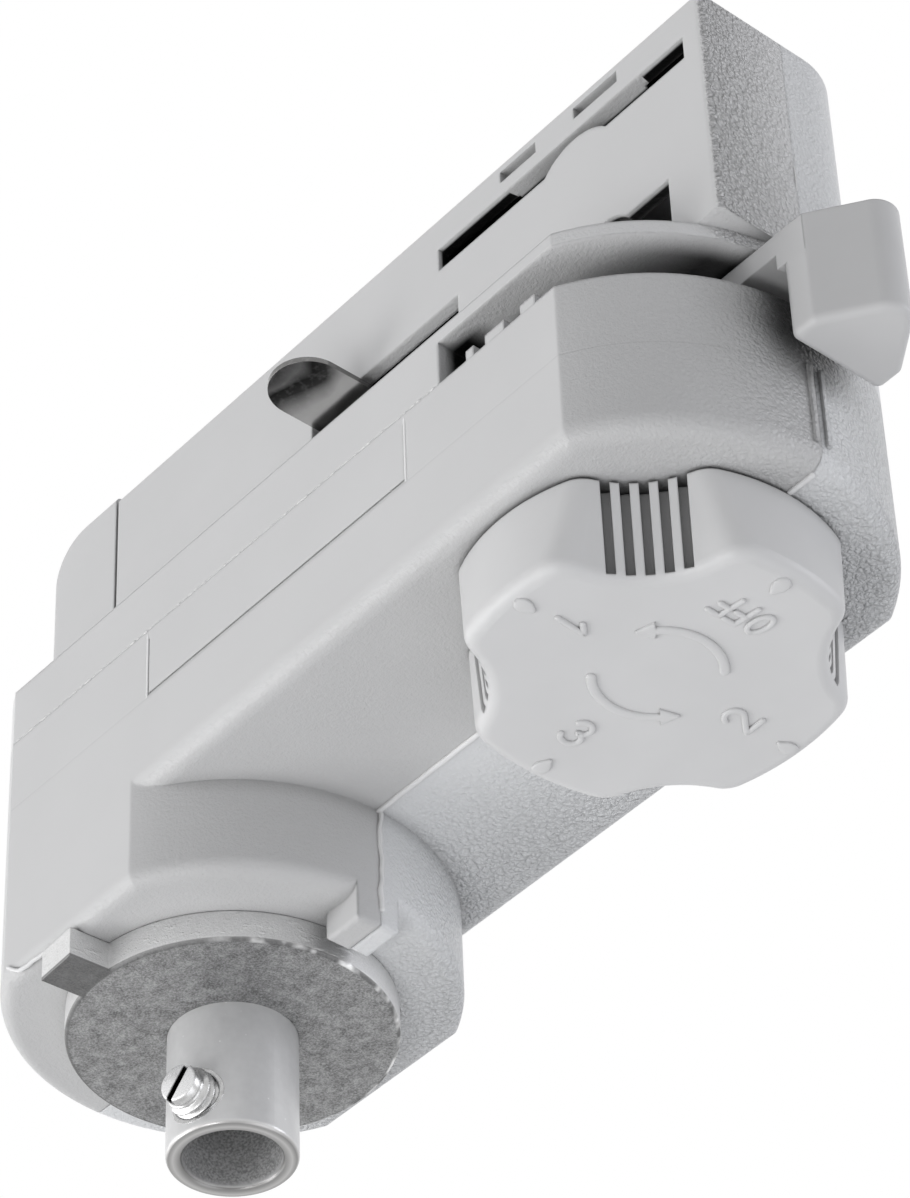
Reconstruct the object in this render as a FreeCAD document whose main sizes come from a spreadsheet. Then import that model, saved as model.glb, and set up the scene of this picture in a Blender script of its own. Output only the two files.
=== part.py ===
# Track light adapter: a three-circuit adapter that hangs a lamp from a lighting track.
# Frame: +Z points up into the track, +X runs from the nipple to the selector knob.
# The origin is on the nipple's axis, in the plane where the flange bears on the track.
import FreeCAD, Part
import math
import os

NODE_LIMIT = 60
doc = FreeCAD.newDocument("track_light_adapter")
sheet = doc.addObject("Spreadsheet::Sheet", "Sizes")

# Driving dimensions in millimetres and degrees, one cell each.
DIMENSIONS = {
    # housing plan, shared by the lower housing and the flange
    "housing_width": 33.0,
    "nipple_end_radius": 18.4,
    "knob_end_radius": 18.9,
    "end_distance": 50.0,
    "axis_distance": 50.4,
    # lower housing
    "lower_depth": 15.55,
    "boss_depth": 8.8,
    "lower_wall": 2.0,
    "boss_floor": 3.0,
    "boss_cavity_radius": 12.5,
    "lower_edge_radius": 1.6,
    "boss_edge_radius": 1.3,
    "panel_start": 10.0,
    "panel_length": 31.8,
    "panel_top_margin": 1.0,
    "panel_height": 5.9,
    "groove_width": 0.25,
    "groove_depth": 0.12,
    "end_rib_spacing": 1.2,
    "end_rib_width": 0.4,
    "end_rib_rise": 0.3,
    # stop tab under the boss and the lug on the turning plate
    "stop_inner_radius": 14.5,
    "stop_front_width": 2.2,
    "stop_rear_width": 1.85,
    "stop_depth": 2.6,
    "stop_rear_step": 0.15,
    "stop_edge_radius": 0.35,
    "lug_radius": 16.7,
    "lug_width": 3.9,
    "lug_angle": -93.0,
    # flange and lever slot
    "flange_height": 5.55,
    "slot_height": 4.25,
    "slot_start": 46.15,
    "slot_side": 5.3,
    "tooth_inset": 0.1,
    "tooth_depth": 1.0,
    "tooth_rise": 1.1,
    "first_tooth_start": 49.1,
    "first_tooth_width": 0.9,
    "second_tooth_start": 51.3,
    "second_tooth_width": 2.2,
    "third_tooth_start": 55.3,
    "third_tooth_width": 1.7,
    "passage_start": 8.0,
    "passage_length": 26.0,
    "passage_half_width": 6.0,
    # rail body
    "rail_width": 17.3,
    "rail_height": 24.2,
    "rail_start": -5.15,
    "rail_end": 69.3,
    "rail_wall": 1.2,
    "rail_corner_radius": 6.0,
    "rail_edge_radius": 0.6,
    # end key, the separate block at the nipple end of the rail body
    "key_start": -14.5,
    "key_gap": 0.3,
    "key_rise": 0.4,
    "key_nose_radius": 4.5,
    "key_foot_length": 5.0,
    "key_foot_depth": 3.0,
    "key_foot_half_width": 5.0,
    # openings in the rail body
    "contact_slot_start": 37.8,
    "contact_slot_length": 29.3,
    "contact_slot_bottom": 18.1,
    "contact_slot_height": 2.4,
    "tab_centre": 54.35,
    "tab_radius": 5.0,
    "tab_top": 19.65,
    "drum_wall_start": 46.5,
    "drum_wall_length": 15.0,
    "drum_wall_extra": 0.9,
    "window_bottom": 21.9,
    "window_height": 1.2,
    "window_depth": 0.8,
    "window_slope": 0.6,
    "first_window_start": 45.6,
    "first_window_length": 4.3,
    "second_window_start": 54.5,
    "second_window_length": 5.1,
    "dog_opening_end": 64.25,
    "dog_opening_back": 4.0,
    "dog_opening_bottom": 2.4,
    "dog_opening_height": 4.5,
    "relief_start": 54.5,
    "relief_length": 4.9,
    "relief_height": 1.2,
    "earth_opening_start": 21.4,
    "earth_opening_length": 18.5,
    "earth_opening_bottom": 11.2,
    "earth_opening_height": 2.5,
    # locking lever and its dogs
    "lever_clearance": 0.35,
    "lever_arm_width": 9.0,
    "lever_arm_end": 73.45,
    "lever_hub_radius": 9.0,
    "lever_neck_radius": 6.5,
    "lever_bore_radius": 4.4,
    "lever_relief_radius": 15.1,
    "lever_relief_height": 1.5,
    "lever_spigot_radius": 5.4,
    "grip_start": 71.0,
    "grip_point": 79.9,
    "grip_depth": 11.1,
    "grip_tip_radius": 2.0,
    "grip_edge_radius": 0.7,
    "dog_length": 13.0,
    "dog_width": 6.0,
    "dog_disc_radius": 6.9,
    "dog_thickness": 3.4,
    # selector: knob, spindle, drum and blade
    "knob_depth": 7.4,
    "knob_gap": 0.3,
    "knob_edge_radius": 1.1,
    "lobe_base_reach": 14.85,
    "lobe_base_radius": 16.0,
    "lobe_base_corner": 2.4,
    "lobe_face_reach": 14.65,
    "lobe_face_radius": 24.0,
    "lobe_face_corner": 2.7,
    "scallop_radius": 9.0,
    "scallop_base_reach": 13.1,
    "thumb_face_reach": 10.7,
    "side_face_reach": 12.6,
    "far_face_reach": 13.4,
    "rib_count": 6,
    "rib_pitch": 1.4,
    "rib_groove_width": 0.72,
    "rib_groove_depth": 1.0,
    "spindle_radius": 4.0,
    "spindle_top": 22.6,
    "drum_gap": 0.35,
    "drum_bottom": 7.6,
    "blade_level": 19.9,
    "blade_thickness": 0.4,
    "blade_reach": 14.0,
    "blade_width": 5.0,
    "blade_ring_inset": 0.6,
    "cap_gap": 0.02,
    "detent_radius": 8.0,
    "detent_level": -18.5,
    "detent_thickness": 3.0,
    "notch_radius": 1.4,
    "detent_spring_length": 16.0,
    "detent_spring_thickness": 0.4,
    "detent_spring_gap": 0.35,
    "spring_holder_length": 2.0,
    "spring_holder_width": 1.5,
    # earth and neutral contacts
    "earth_level": 12.3,
    "earth_start": 21.9,
    "earth_width": 6.5,
    "earth_reach": 15.4,
    "earth_tail": 0.3,
    "earth_thickness": 0.5,
    "neutral_level": 18.4,
    "neutral_start": 12.0,
    "neutral_width": 5.0,
    "neutral_reach": 14.0,
    "neutral_tail": 0.5,
    "neutral_thickness": 0.5,
    "ledge_height": 1.2,
    "contact_clearance": 0.3,
    # nipple: plate, tube, washer, nut and set screw
    "plate_radius": 13.25,
    "plate_thickness": 2.75,
    "plate_gap": 0.05,
    "plate_edge_radius": 0.35,
    "neck_radius": 6.5,
    "tube_radius": 5.2,
    "tube_bore_radius": 3.9,
    "tube_length": 11.4,
    "tube_edge_radius": 0.45,
    "washer_radius": 9.5,
    "washer_thickness": 1.0,
    "nut_across_flats": 14.0,
    "nut_height": 5.0,
    "tube_above_nut": 1.0,
    "screw_radius": 2.0,
    "screw_tip_radius": 1.7,
    "screw_angle": -73.0,
    "screw_drop": 8.2,
    "screw_stand_out": 2.3,
    "screw_length": 3.55,
    "screw_slot_width": 0.6,
    "screw_slot_depth": 0.9,
    "screw_slot_tilt": -28.0,
    # terminals inside the lower housing
    "terminal_start": 18.9,
    "terminal_length": 15.0,
    "terminal_half_width": 7.0,
    "terminal_height": 8.0,
    "terminal_pitch": 4.6,
    "terminal_screw_radius": 1.5,
    "terminal_screw_height": 2.2,
    "terminal_clamp_radius": 1.6,
    "terminal_slit_width": 0.6,
    "terminal_slit_depth": 0.5,
    # how far a cutting body runs past what it cuts
    "overrun": 1.0,
    # fits
    "running_fit": 0.05,
    "press_fit_gap": 0.02,
    "peg_radius": 1.2,
    "peg_boss_radius": 2.4,
    "peg_boss_sink": 0.8,
    "peg_length": 2.2,
}


def fill_sheet():
    """Writes each driving dimension to its own cell, with its name as the alias."""
    for row, (alias, number) in enumerate(DIMENSIONS.items(), 1):
        sheet.set(f"A{row}", alias)
        sheet.set(f"B{row}", str(number))
        sheet.setAlias(f"B{row}", alias)
    doc.recompute()


def size(alias):
    """Returns the number that the sheet holds under this name."""
    return float(getattr(sheet, alias))


def bind(item, **formulas):
    """Binds properties to formulas, in which names in angle brackets are cells of the sheet."""
    for name, formula in formulas.items():
        item.setExpression(name.replace("_dot_", "."), formula.replace("<", "Sizes.").replace(">", ""))


def place(item, x="0", y="0", z="0"):
    """Binds the position of an item to three formulas."""
    bind(item, Placement_dot_Base_dot_x=x, Placement_dot_Base_dot_y=y, Placement_dot_Base_dot_z=z)
    return item


def box(name, x, y, z, length, width, height):
    """A box given by its low corner and its three sizes."""
    item = doc.addObject("Part::Box", name)
    bind(item, Length=length, Width=width, Height=height)
    return place(item, x, y, z)


def disc(name, radius, z, height, x="0", y="0"):
    """An upright cylinder that starts at z."""
    item = doc.addObject("Part::Cylinder", name)
    bind(item, Radius=radius, Height=height)
    return place(item, x, y, z)


def rod(name, radius, x, y, z, length, axis=(0, 1, 0)):
    """A cylinder that lies along +X or +Y from its start point."""
    item = doc.addObject("Part::Cylinder", name)
    bind(item, Radius=radius, Height=length)
    turn = FreeCAD.Rotation(FreeCAD.Vector(0, 0, 1), FreeCAD.Vector(*axis))
    item.Placement = FreeCAD.Placement(FreeCAD.Vector(), turn)
    return place(item, x, y, z)


def sloped(name, x, y, z, length, depth, height, slope):
    """A box along +X whose floor climbs by a slope from its front at y to its back."""
    item = doc.addObject("Part::Wedge", name)
    bind(item, Xmin="0", X2min="0", Xmax=length, X2max=length, Ymin="0", Ymax=depth, Zmin="0", Z2min=slope,
         Zmax=height, Z2max=height)
    return place(item, x, y, z)


def fuse(name, *items):
    """One solid from several that touch or overlap."""
    item = doc.addObject("Part::MultiFuse", name)
    item.Shapes = list(items)
    item.Refine = True
    return item


def common(name, *items):
    """What several solids share."""
    item = doc.addObject("Part::MultiCommon", name)
    item.Shapes = list(items)
    return item


def cut(name, base, *tools):
    """The base without its tools."""
    tool = tools[0] if len(tools) == 1 else fuse(name + "_tools", *tools)
    item = doc.addObject("Part::Cut", name)
    item.Base = base
    item.Tool = tool
    item.Refine = True
    return item


def rounded(name, base, radius, wanted):
    """Rounds the edges of the base that the test picks."""
    doc.recompute()
    picked = [number for number, edge in enumerate(base.Shape.Edges, 1) if wanted(edge)]
    item = doc.addObject("Part::Fillet", name)
    item.Base = base
    item.Edges = [(number, radius, radius) for number in picked]
    return item


def level(edge, z, slack=1e-3):
    """True for an edge that lies in the level plane at z."""
    bounds = edge.BoundBox
    return abs(bounds.ZMin - z) < slack and abs(bounds.ZMax - z) < slack


def upright(edge, shortest=1.0):
    """True for a straight vertical edge of at least the given length."""
    bounds = edge.BoundBox
    return bounds.ZLength > shortest and bounds.XLength < 1e-4 and bounds.YLength < 1e-4


def plan_block(name, inset, z, height):
    """The housing's plan, two discs with flat sides, as a block that is inset on all sides."""
    ends = []
    for end, radius, x in (("nipple", "<nipple_end_radius>", "0"), ("knob", "<knob_end_radius>",
                                                                    "<end_distance>")):
        ends.append(disc(f"{name}_{end}", f"{radius} - {inset}", z, height, x))
    middle = box(f"{name}_middle", "0", f"-<housing_width> / 2 + {inset}", z,
                 "<end_distance>", f"<housing_width> - 2 * ({inset})", height)
    flats = box(f"{name}_flats", "-2 * <nipple_end_radius>", f"-<housing_width> / 2 + {inset}", z,
                "<end_distance> + 4 * <knob_end_radius>", f"<housing_width> - 2 * ({inset})", height)
    return common(name, fuse(f"{name}_plan", *ends, middle), flats)


def halves(whole, front_name, rear_name, reach=200.0):
    """Splits a whole housing along its middle plane into a front and a rear shell."""
    shells = []
    for label, low in ((front_name, -reach), (rear_name, 0.0)):
        side = doc.addObject("Part::Box", label + "_side")
        side.Length = 2 * reach
        side.Width = reach
        side.Height = 2 * reach
        side.Placement.Base = FreeCAD.Vector(-reach, low, -reach)
        shells.append(common(label, whole, side))
    return shells


def pegged(name, front, rear, spots):
    """Gives the front shell pegs and the rear shell the holes that take them."""
    pegs = []
    holes = []
    for number, (x, z) in enumerate(spots, 1):
        pegs.append(rod(f"{name}_peg_{number}", "<peg_radius>", x, "-<peg_length>", z, "2 * <peg_length>"))
        holes.append(rod(f"{name}_hole_{number}", "<peg_radius> + <running_fit>", x, "-<running_fit>", z,
                         "<peg_length> + 3 * <running_fit>"))
    pegged_front = fuse(f"{name}_front_pegged", front, *pegs)
    pegged_front.Refine = False
    return pegged_front, cut(f"{name}_rear_bored", rear, *holes)


fill_sheet()

JOINT = "(-<flange_height>)"
LOWER_BOTTOM = "(-<flange_height> - <lower_depth>)"
BOSS_BOTTOM = "(-<flange_height> - <lower_depth> - <boss_depth>)"
PLATE_TOP = f"({BOSS_BOTTOM} - <plate_gap>)"
PLATE_BOTTOM = f"({PLATE_TOP} - <plate_thickness>)"
RAIL_INSIDE = "(<rail_width> / 2 - <rail_wall>)"
LOWER_INSIDE = "(<housing_width> / 2 - <lower_wall>)"
LOWER_FLOOR = f"({LOWER_BOTTOM} + <lower_wall>)"
SLOT_TOP = "(<slot_height> - <flange_height>)"
LEVER_BOTTOM = "(-<flange_height> + <lever_clearance>)"
LEVER_TOP = f"({SLOT_TOP} - <lever_clearance>)"
LEVER_SHOULDER = "(<dog_opening_bottom> + <lever_clearance>)"
PEG_INSET = "(<peg_boss_radius> - <peg_boss_sink>)"
DRUM_RADIUS = f"({RAIL_INSIDE} - <drum_wall_extra> - <drum_gap>)"


def build_lower_housing():
    """Two half shells below the flange, with the boss that carries the nipple."""
    body = plan_block("lower_body", "0", LOWER_BOTTOM, "<lower_depth>")
    body_z = -size("flange_height") - size("lower_depth")
    body = rounded("lower_body_round", body, size("lower_edge_radius"), lambda edge: level(edge, body_z))
    boss_plan = common("boss_plan",
                       disc("boss_disc", "<nipple_end_radius>", BOSS_BOTTOM,
                            "<boss_depth> + <lower_depth> / 2"),
                       box("boss_flats", "-<nipple_end_radius>", "-<housing_width> / 2", BOSS_BOTTOM,
                           "2 * <nipple_end_radius>", "<housing_width>", "<boss_depth> + <lower_depth> / 2"))
    boss_z = body_z - size("boss_depth")
    boss = rounded("boss_round", boss_plan, size("boss_edge_radius"), lambda edge: level(edge, boss_z))
    stops = []
    for side, y, width, step in (("front", "-<stop_front_width>", "<stop_front_width>", "0"),
                                 ("rear", "0", "<stop_rear_width>", "<stop_rear_step>")):
        low = f"{BOSS_BOTTOM} - <stop_depth> + {step}"
        tall = f"<stop_depth> - {step} + <boss_floor>"
        block = common(f"stop_{side}_block", disc(f"stop_{side}_disc", "<nipple_end_radius>", low, tall),
                       box(f"stop_{side}_bar", "<stop_inner_radius>", y, low, "<nipple_end_radius>", width,
                           tall))
        low_z = boss_z - size("stop_depth") + (size("stop_rear_step") if side == "rear" else 0.0)
        stops.append(rounded(f"stop_{side}", block, size("stop_edge_radius"),
                             lambda edge: level(edge, low_z)))
    rib_height = "<lower_depth> - <lower_wall> - <panel_height>"
    rib_bars = [box(f"end_rib_bar_{number}", "<end_distance> + <knob_end_radius> - 2 * <lower_wall>",
                    f"{side} * <end_rib_spacing> / 2 - <end_rib_width> / 2", LOWER_FLOOR, "4 * <lower_wall>",
                    "<end_rib_width>", rib_height) for number, side in enumerate((-1, 1), 1)]
    ribs = common("end_ribs",
                  disc("end_rib_disc", "<knob_end_radius> + <end_rib_rise>", LOWER_FLOOR, rib_height,
                       "<end_distance>"),
                  fuse("end_rib_bars", *rib_bars))
    solid = fuse("lower_solid", body, boss, *stops, ribs)
    cavity = plan_block("lower_cavity", "<lower_wall>", LOWER_FLOOR, "<lower_depth>")
    boss_cavity = disc("boss_cavity", "<boss_cavity_radius>", f"{BOSS_BOTTOM} + <boss_floor>",
                       "<boss_depth> + <lower_wall>")
    neck_bore = disc("neck_bore", "<neck_radius> + <running_fit>", f"{BOSS_BOTTOM} - <lower_wall>",
                     "<boss_floor> + 2 * <lower_wall>")
    spindle_bore = disc("spindle_bore", "<spindle_radius> + <running_fit>", f"{LOWER_BOTTOM} - <lower_wall>",
                        "3 * <lower_wall>", "<axis_distance>")
    hollow = cut("lower_hollow", solid, cavity, boss_cavity, neck_bore, spindle_bore)
    bosses = []
    low = f"{LOWER_FLOOR} + {PEG_INSET}"
    spots = [(f"-<nipple_end_radius> + <lower_wall> + {PEG_INSET}", "-<flange_height> - <lower_depth> / 3"),
             ("<boss_cavity_radius> + <peg_boss_radius>", low),
             ("<axis_distance> - <detent_radius> - 2 * <peg_boss_radius>", low),
             (f"<end_distance> + <knob_end_radius> - <lower_wall> - {PEG_INSET}", low)]
    for number, (x, z) in enumerate(spots, 1):
        bosses.append(rod(f"lower_peg_boss_{number}", "<peg_boss_radius>", x, f"-{LOWER_INSIDE}", z,
                          f"2 * {LOWER_INSIDE}"))
    plan = plan_block("lower_boss_limit", "<lower_wall> / 2", LOWER_BOTTOM, "<lower_depth>")
    posts = common("lower_peg_posts", fuse("lower_peg_rods", *bosses), plan)
    whole = fuse("lower_whole", hollow, posts)
    front, rear = halves(whole, "lower_front_half", "lower_rear_half")
    front, rear = pegged("lower", front, rear, spots)
    panel_z = f"({JOINT} - <panel_top_margin> - <panel_height>)"
    side = "-<housing_width> / 2 - <groove_width>"
    deep = "<groove_depth> + <groove_width>"
    lines = [box("panel_line_low", "<panel_start>", side, panel_z, "<panel_length>", deep, "<groove_width>"),
             box("panel_line_left", "<panel_start>", side, panel_z, "<groove_width>", deep,
                 "<panel_height>"),
             box("panel_line_right", "<panel_start> + <panel_length>", side, panel_z, "<groove_width>", deep,
                 "<panel_height>")]
    front = cut("lower_front_lined", front, *lines)
    teeth = []
    for name in ("first_tooth", "second_tooth", "third_tooth"):
        teeth.append(box(name, f"<{name}_start>", "-<housing_width> / 2 + <tooth_inset>",
                         f"{JOINT} - <lower_wall> / 2", f"<{name}_width>", "<tooth_depth>",
                         "<lower_wall> / 2 + <tooth_rise>"))
    front = fuse("lower_front_toothed", front, *teeth)
    front.Label = "lower_shell_front"
    spring_z = "<detent_level>"
    spring_y = "<detent_radius> + <detent_spring_gap>"
    holders = []
    for number, side in enumerate((-1, 1), 1):
        middle = f"<axis_distance> + {side} * (<detent_spring_length> - <spring_holder_length>) / 2"
        holders.append(box(f"spring_holder_{number}", f"{middle} - <spring_holder_length> / 2",
                           f"{spring_y} + <detent_spring_thickness>", f"{LOWER_BOTTOM} + <lower_wall> / 2",
                           "<spring_holder_length>", "<spring_holder_width>",
                           f"{spring_z} + <detent_thickness> - {LOWER_BOTTOM} - <lower_wall> / 2"))
    rear = fuse("lower_rear_held", rear, *holders)
    rear.Label = "lower_shell_rear"
    return [front, rear]


def build_rail_housing():
    """Two half shells above the lower housing: the flange and the narrow rail body."""
    flange = plan_block("flange", "0", JOINT, "<flange_height>")
    block = box("rail_block", "<rail_start>", "-<rail_width> / 2", "0", "<rail_end> - <rail_start>",
                "<rail_width>", "<rail_height>")
    end_x = size("rail_end")
    block = rounded("rail_corner", block, size("rail_corner_radius"),
                    lambda edge: upright(edge) and edge.BoundBox.XMin > end_x - 1e-3
                    and edge.BoundBox.YMin > 0)
    top_z = size("rail_height")
    small = size("rail_edge_radius")
    block = rounded("rail_edges", block, small,
                    lambda edge: (upright(edge) and edge.BoundBox.XMin > end_x - 1e-3
                                  and edge.BoundBox.YMax < 0)
                    or (level(edge, top_z) and edge.BoundBox.XMax > size("rail_start") + 1.0))
    solid = fuse("rail_solid", flange, block)
    cavity = box("rail_cavity", "<rail_start> + <rail_wall>", f"-{RAIL_INSIDE}", "0",
                 "<rail_end> - <rail_start> - 2 * <rail_wall>", f"2 * {RAIL_INSIDE}",
                 "<rail_height> - <rail_wall>")
    cavity = rounded("rail_cavity_corner", cavity, size("rail_corner_radius") - size("rail_wall"),
                     lambda edge: upright(edge) and edge.BoundBox.XMin > end_x - 2 * size("rail_wall")
                     and edge.BoundBox.YMin > 0)
    passage = box("wire_passage", "<passage_start>", "-<passage_half_width>", f"{JOINT} - <overrun>",
                  "<passage_length>", "2 * <passage_half_width>", "<flange_height> + 2 * <overrun>")
    hub_space = disc("hub_space", "<lever_hub_radius> + <lever_clearance>", f"{JOINT} - <overrun>",
                     "<slot_height> + <overrun>",
                     "<axis_distance>")
    slot = box("lever_slot", "<slot_start>", "-<housing_width>", f"{JOINT} - <overrun>", "<rail_end>",
               "<housing_width> + <slot_side>", "<slot_height> + <overrun>")
    neck = disc("lever_neck_bore", "<lever_neck_radius> + <running_fit>", f"{SLOT_TOP} - <overrun>",
                "<flange_height> - <slot_height> + 2 * <overrun>", "<axis_distance>")
    foot_x = "(<key_start> + <rail_start> - <key_gap>) / 2 - <key_foot_length> / 2"
    foot = box("key_socket", f"{foot_x} - <running_fit>", "-<key_foot_half_width> - <running_fit>",
               "-<key_foot_depth> - <running_fit>", "<key_foot_length> + 2 * <running_fit>",
               "2 * <key_foot_half_width> + 2 * <running_fit>", "<key_foot_depth> + <overrun>")
    hollow = cut("rail_hollow", solid, cavity, passage, hub_space, slot, neck, foot)
    backs = []
    for number, y in enumerate((f"-{RAIL_INSIDE} - <rail_wall> / 4", f"{RAIL_INSIDE} - <drum_wall_extra>"),
                               1):
        backs.append(box(f"drum_wall_{number}", "<drum_wall_start>", y,
                         "<contact_slot_bottom> - <contact_slot_height>", "<drum_wall_length>",
                         "<drum_wall_extra> + <rail_wall> / 4",
                         "<rail_height> - <rail_wall> / 2 - <contact_slot_bottom> + <contact_slot_height>"))
    ledges = [box("earth_ledge", "<earth_start> - <contact_clearance>", f"-{RAIL_INSIDE} - <rail_wall> / 4",
                  "<earth_level> - <contact_clearance> - <ledge_height>",
                  "<earth_width> + 2 * <contact_clearance>", f"{RAIL_INSIDE} + <rail_wall> / 4",
                  "<ledge_height>"),
              box("neutral_ledge", "<neutral_start> - <contact_clearance>", "0",
                  "<neutral_level> - <contact_clearance> - <ledge_height>",
                  "<neutral_width> + 2 * <contact_clearance>", f"{RAIL_INSIDE} + <rail_wall> / 4",
                  "<ledge_height>")]
    end_floor = box("rail_end_floor", "<axis_distance> + <dog_length> + <rail_wall>",
                    f"-{RAIL_INSIDE} - <rail_wall> / 4", "0",
                    "<rail_end> - <axis_distance> - <dog_length> - 1.5 * <rail_wall>",
                    f"2 * {RAIL_INSIDE} + <rail_wall> / 2", "<rail_wall>")
    near = f"<rail_start> + <rail_wall> + {PEG_INSET}"
    spots = [(near, f"<rail_height> - <rail_wall> - {PEG_INSET}"),
             (near, PEG_INSET),
             ("<axis_distance> - <dog_length> - <lever_clearance> - <peg_boss_radius>", PEG_INSET),
             (f"<rail_end> - <rail_wall> - {PEG_INSET}", "<rail_height> / 2 - <rail_wall>")]
    bosses = []
    for number, (x, z) in enumerate(spots, 1):
        bosses.append(rod(f"rail_peg_boss_{number}", "<peg_boss_radius>", x,
                          f"-{RAIL_INSIDE} - <rail_wall> / 4", z,
                          f"2 * {RAIL_INSIDE} + <rail_wall> / 2"))
    posts = common("rail_peg_posts", fuse("rail_peg_rods", *bosses, end_floor), block)
    whole = fuse("rail_whole", hollow, posts, *backs, *ledges)
    openings = []
    outer = "<rail_width> / 2"
    for side, y in (("front", f"-{outer} - <overrun>"), ("rear",
                                                         f"{RAIL_INSIDE} - <drum_wall_extra> - <overrun>")):
        deep = f"<rail_wall> + <drum_wall_extra> + 2 * <overrun>"
        long_slot = box(f"contact_slot_{side}", "<contact_slot_start>", y, "<contact_slot_bottom>",
                        "<contact_slot_length>", deep, "<contact_slot_height>")
        tab = rod(f"slot_tab_{side}", "<tab_radius>", "<tab_centre>", f"{y} - <overrun>",
                  "<tab_top> - <tab_radius>",
                  f"{deep} + 2 * <overrun>")
        openings.append(cut(f"contact_opening_{side}", long_slot, tab))
    dog_y = {"front": f"-{outer} - <overrun>", "rear": f"{RAIL_INSIDE} - <overrun>"}
    reach = "(<dog_opening_end> - <axis_distance>)"
    dog_x = {"front": "<axis_distance> - <dog_opening_back>", "rear": f"<axis_distance> - {reach}"}
    for side in ("front", "rear"):
        openings.append(box(f"dog_opening_{side}", dog_x[side], dog_y[side], "<dog_opening_bottom>",
                            f"{reach} + <dog_opening_back>", "<rail_wall> + 2 * <overrun>",
                            "<dog_opening_height>"))
    openings.append(box("earth_opening", "<earth_opening_start>", f"-{outer} - <overrun>",
                        "<earth_opening_bottom>",
                        "<earth_opening_length>", "<rail_wall> + <overrun>", "<earth_opening_height>"))
    openings.append(box("neutral_opening", "<neutral_start> - <contact_clearance>", RAIL_INSIDE,
                        "<neutral_level> - <contact_clearance>", "<neutral_width> + 2 * <contact_clearance>",
                        "<rail_wall> + <overrun>", "<neutral_thickness> + 2 * <contact_clearance>"))
    for name in ("first_window", "second_window"):
        openings.append(sloped(name, f"<{name}_start>", f"-{outer}", "<window_bottom>", f"<{name}_length>",
                               "<window_depth>", "<window_height>", "<window_slope>"))
    relief_radius = "((<relief_length> / 2) ^ 2 + <relief_height> ^ 2) / (2 * <relief_height>)"
    relief_top = "<dog_opening_bottom> + <dog_opening_height> + <relief_height>"
    arch = rod("relief_arch", relief_radius, "<relief_start> + <relief_length> / 2", f"-{outer}",
               f"{relief_top} - ({relief_radius})", "<window_depth>")
    openings.append(common("opening_relief", arch,
                           box("relief_block", "<relief_start>", f"-{outer}",
                               f"{relief_top} - 2 * <relief_height>",
                               "<relief_length>", "<window_depth>", "2 * <relief_height>")))
    opened = cut("rail_opened", whole, *openings)
    front, rear = halves(opened, "rail_front_half", "rail_rear_half")
    front, rear = pegged("rail", front, rear, spots)
    front.Label = "rail_shell_front"
    rear.Label = "rail_shell_rear"
    return [front, rear]


def build_end_key():
    """The block at the nipple end of the rail body, held by its foot between the shells."""
    length = "(<rail_start> - <key_gap> - <key_start>)"
    block = box("key_block", "<key_start>", "-<rail_width> / 2", "0", length, "<rail_width>",
                "<rail_height> + <key_rise>")
    start_x = size("key_start")
    top_z = size("rail_height") + size("key_rise")
    nose = rounded("key_nose", block, size("key_nose_radius"),
                   lambda edge: level(edge, top_z) and edge.BoundBox.XMax < start_x + 1e-3)
    sides = rounded("key_sides", nose, size("rail_edge_radius"),
                    lambda edge: edge.BoundBox.XMax < start_x + 1e-3 and upright(edge))
    foot_x = "(<key_start> + <rail_start> - <key_gap>) / 2 - <key_foot_length> / 2"
    foot = box("key_foot", foot_x, "-<key_foot_half_width>", "-<key_foot_depth>", "<key_foot_length>",
               "2 * <key_foot_half_width>", "<key_foot_depth> + <overrun>")
    key = fuse("key_whole", sides, foot)
    key.Label = "end_key"
    return [key]


def grip_prism():
    """The lever's grip, a five-sided prism with a rounded point."""
    half = size("lever_arm_width") / 2
    bottom = -size("flange_height") + size("slot_height") - size("lever_clearance") - size("grip_depth")
    corners = [(size("grip_start"), -half), (size("lever_arm_end"), -half), (size("grip_point"), 0.0),
               (size("lever_arm_end"), half), (size("grip_start"), half)]
    points = [FreeCAD.Vector(x, y, bottom) for x, y in corners + corners[:1]]
    face = Part.Face(Part.makePolygon(points))
    prism = face.extrude(FreeCAD.Vector(0, 0, size("grip_depth")))
    point_x = size("grip_point")
    tip = [edge for edge in prism.Edges if upright(edge) and edge.BoundBox.XMin > point_x - 1e-3]
    prism = prism.makeFillet(size("grip_tip_radius"), tip)
    shoulder_x = size("lever_arm_end")
    edges = [edge for edge in prism.Edges if level(edge, bottom)
             or (upright(edge) and edge.BoundBox.XMin < shoulder_x + 1e-3)]
    return prism.makeFillet(size("grip_edge_radius"), edges)


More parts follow.
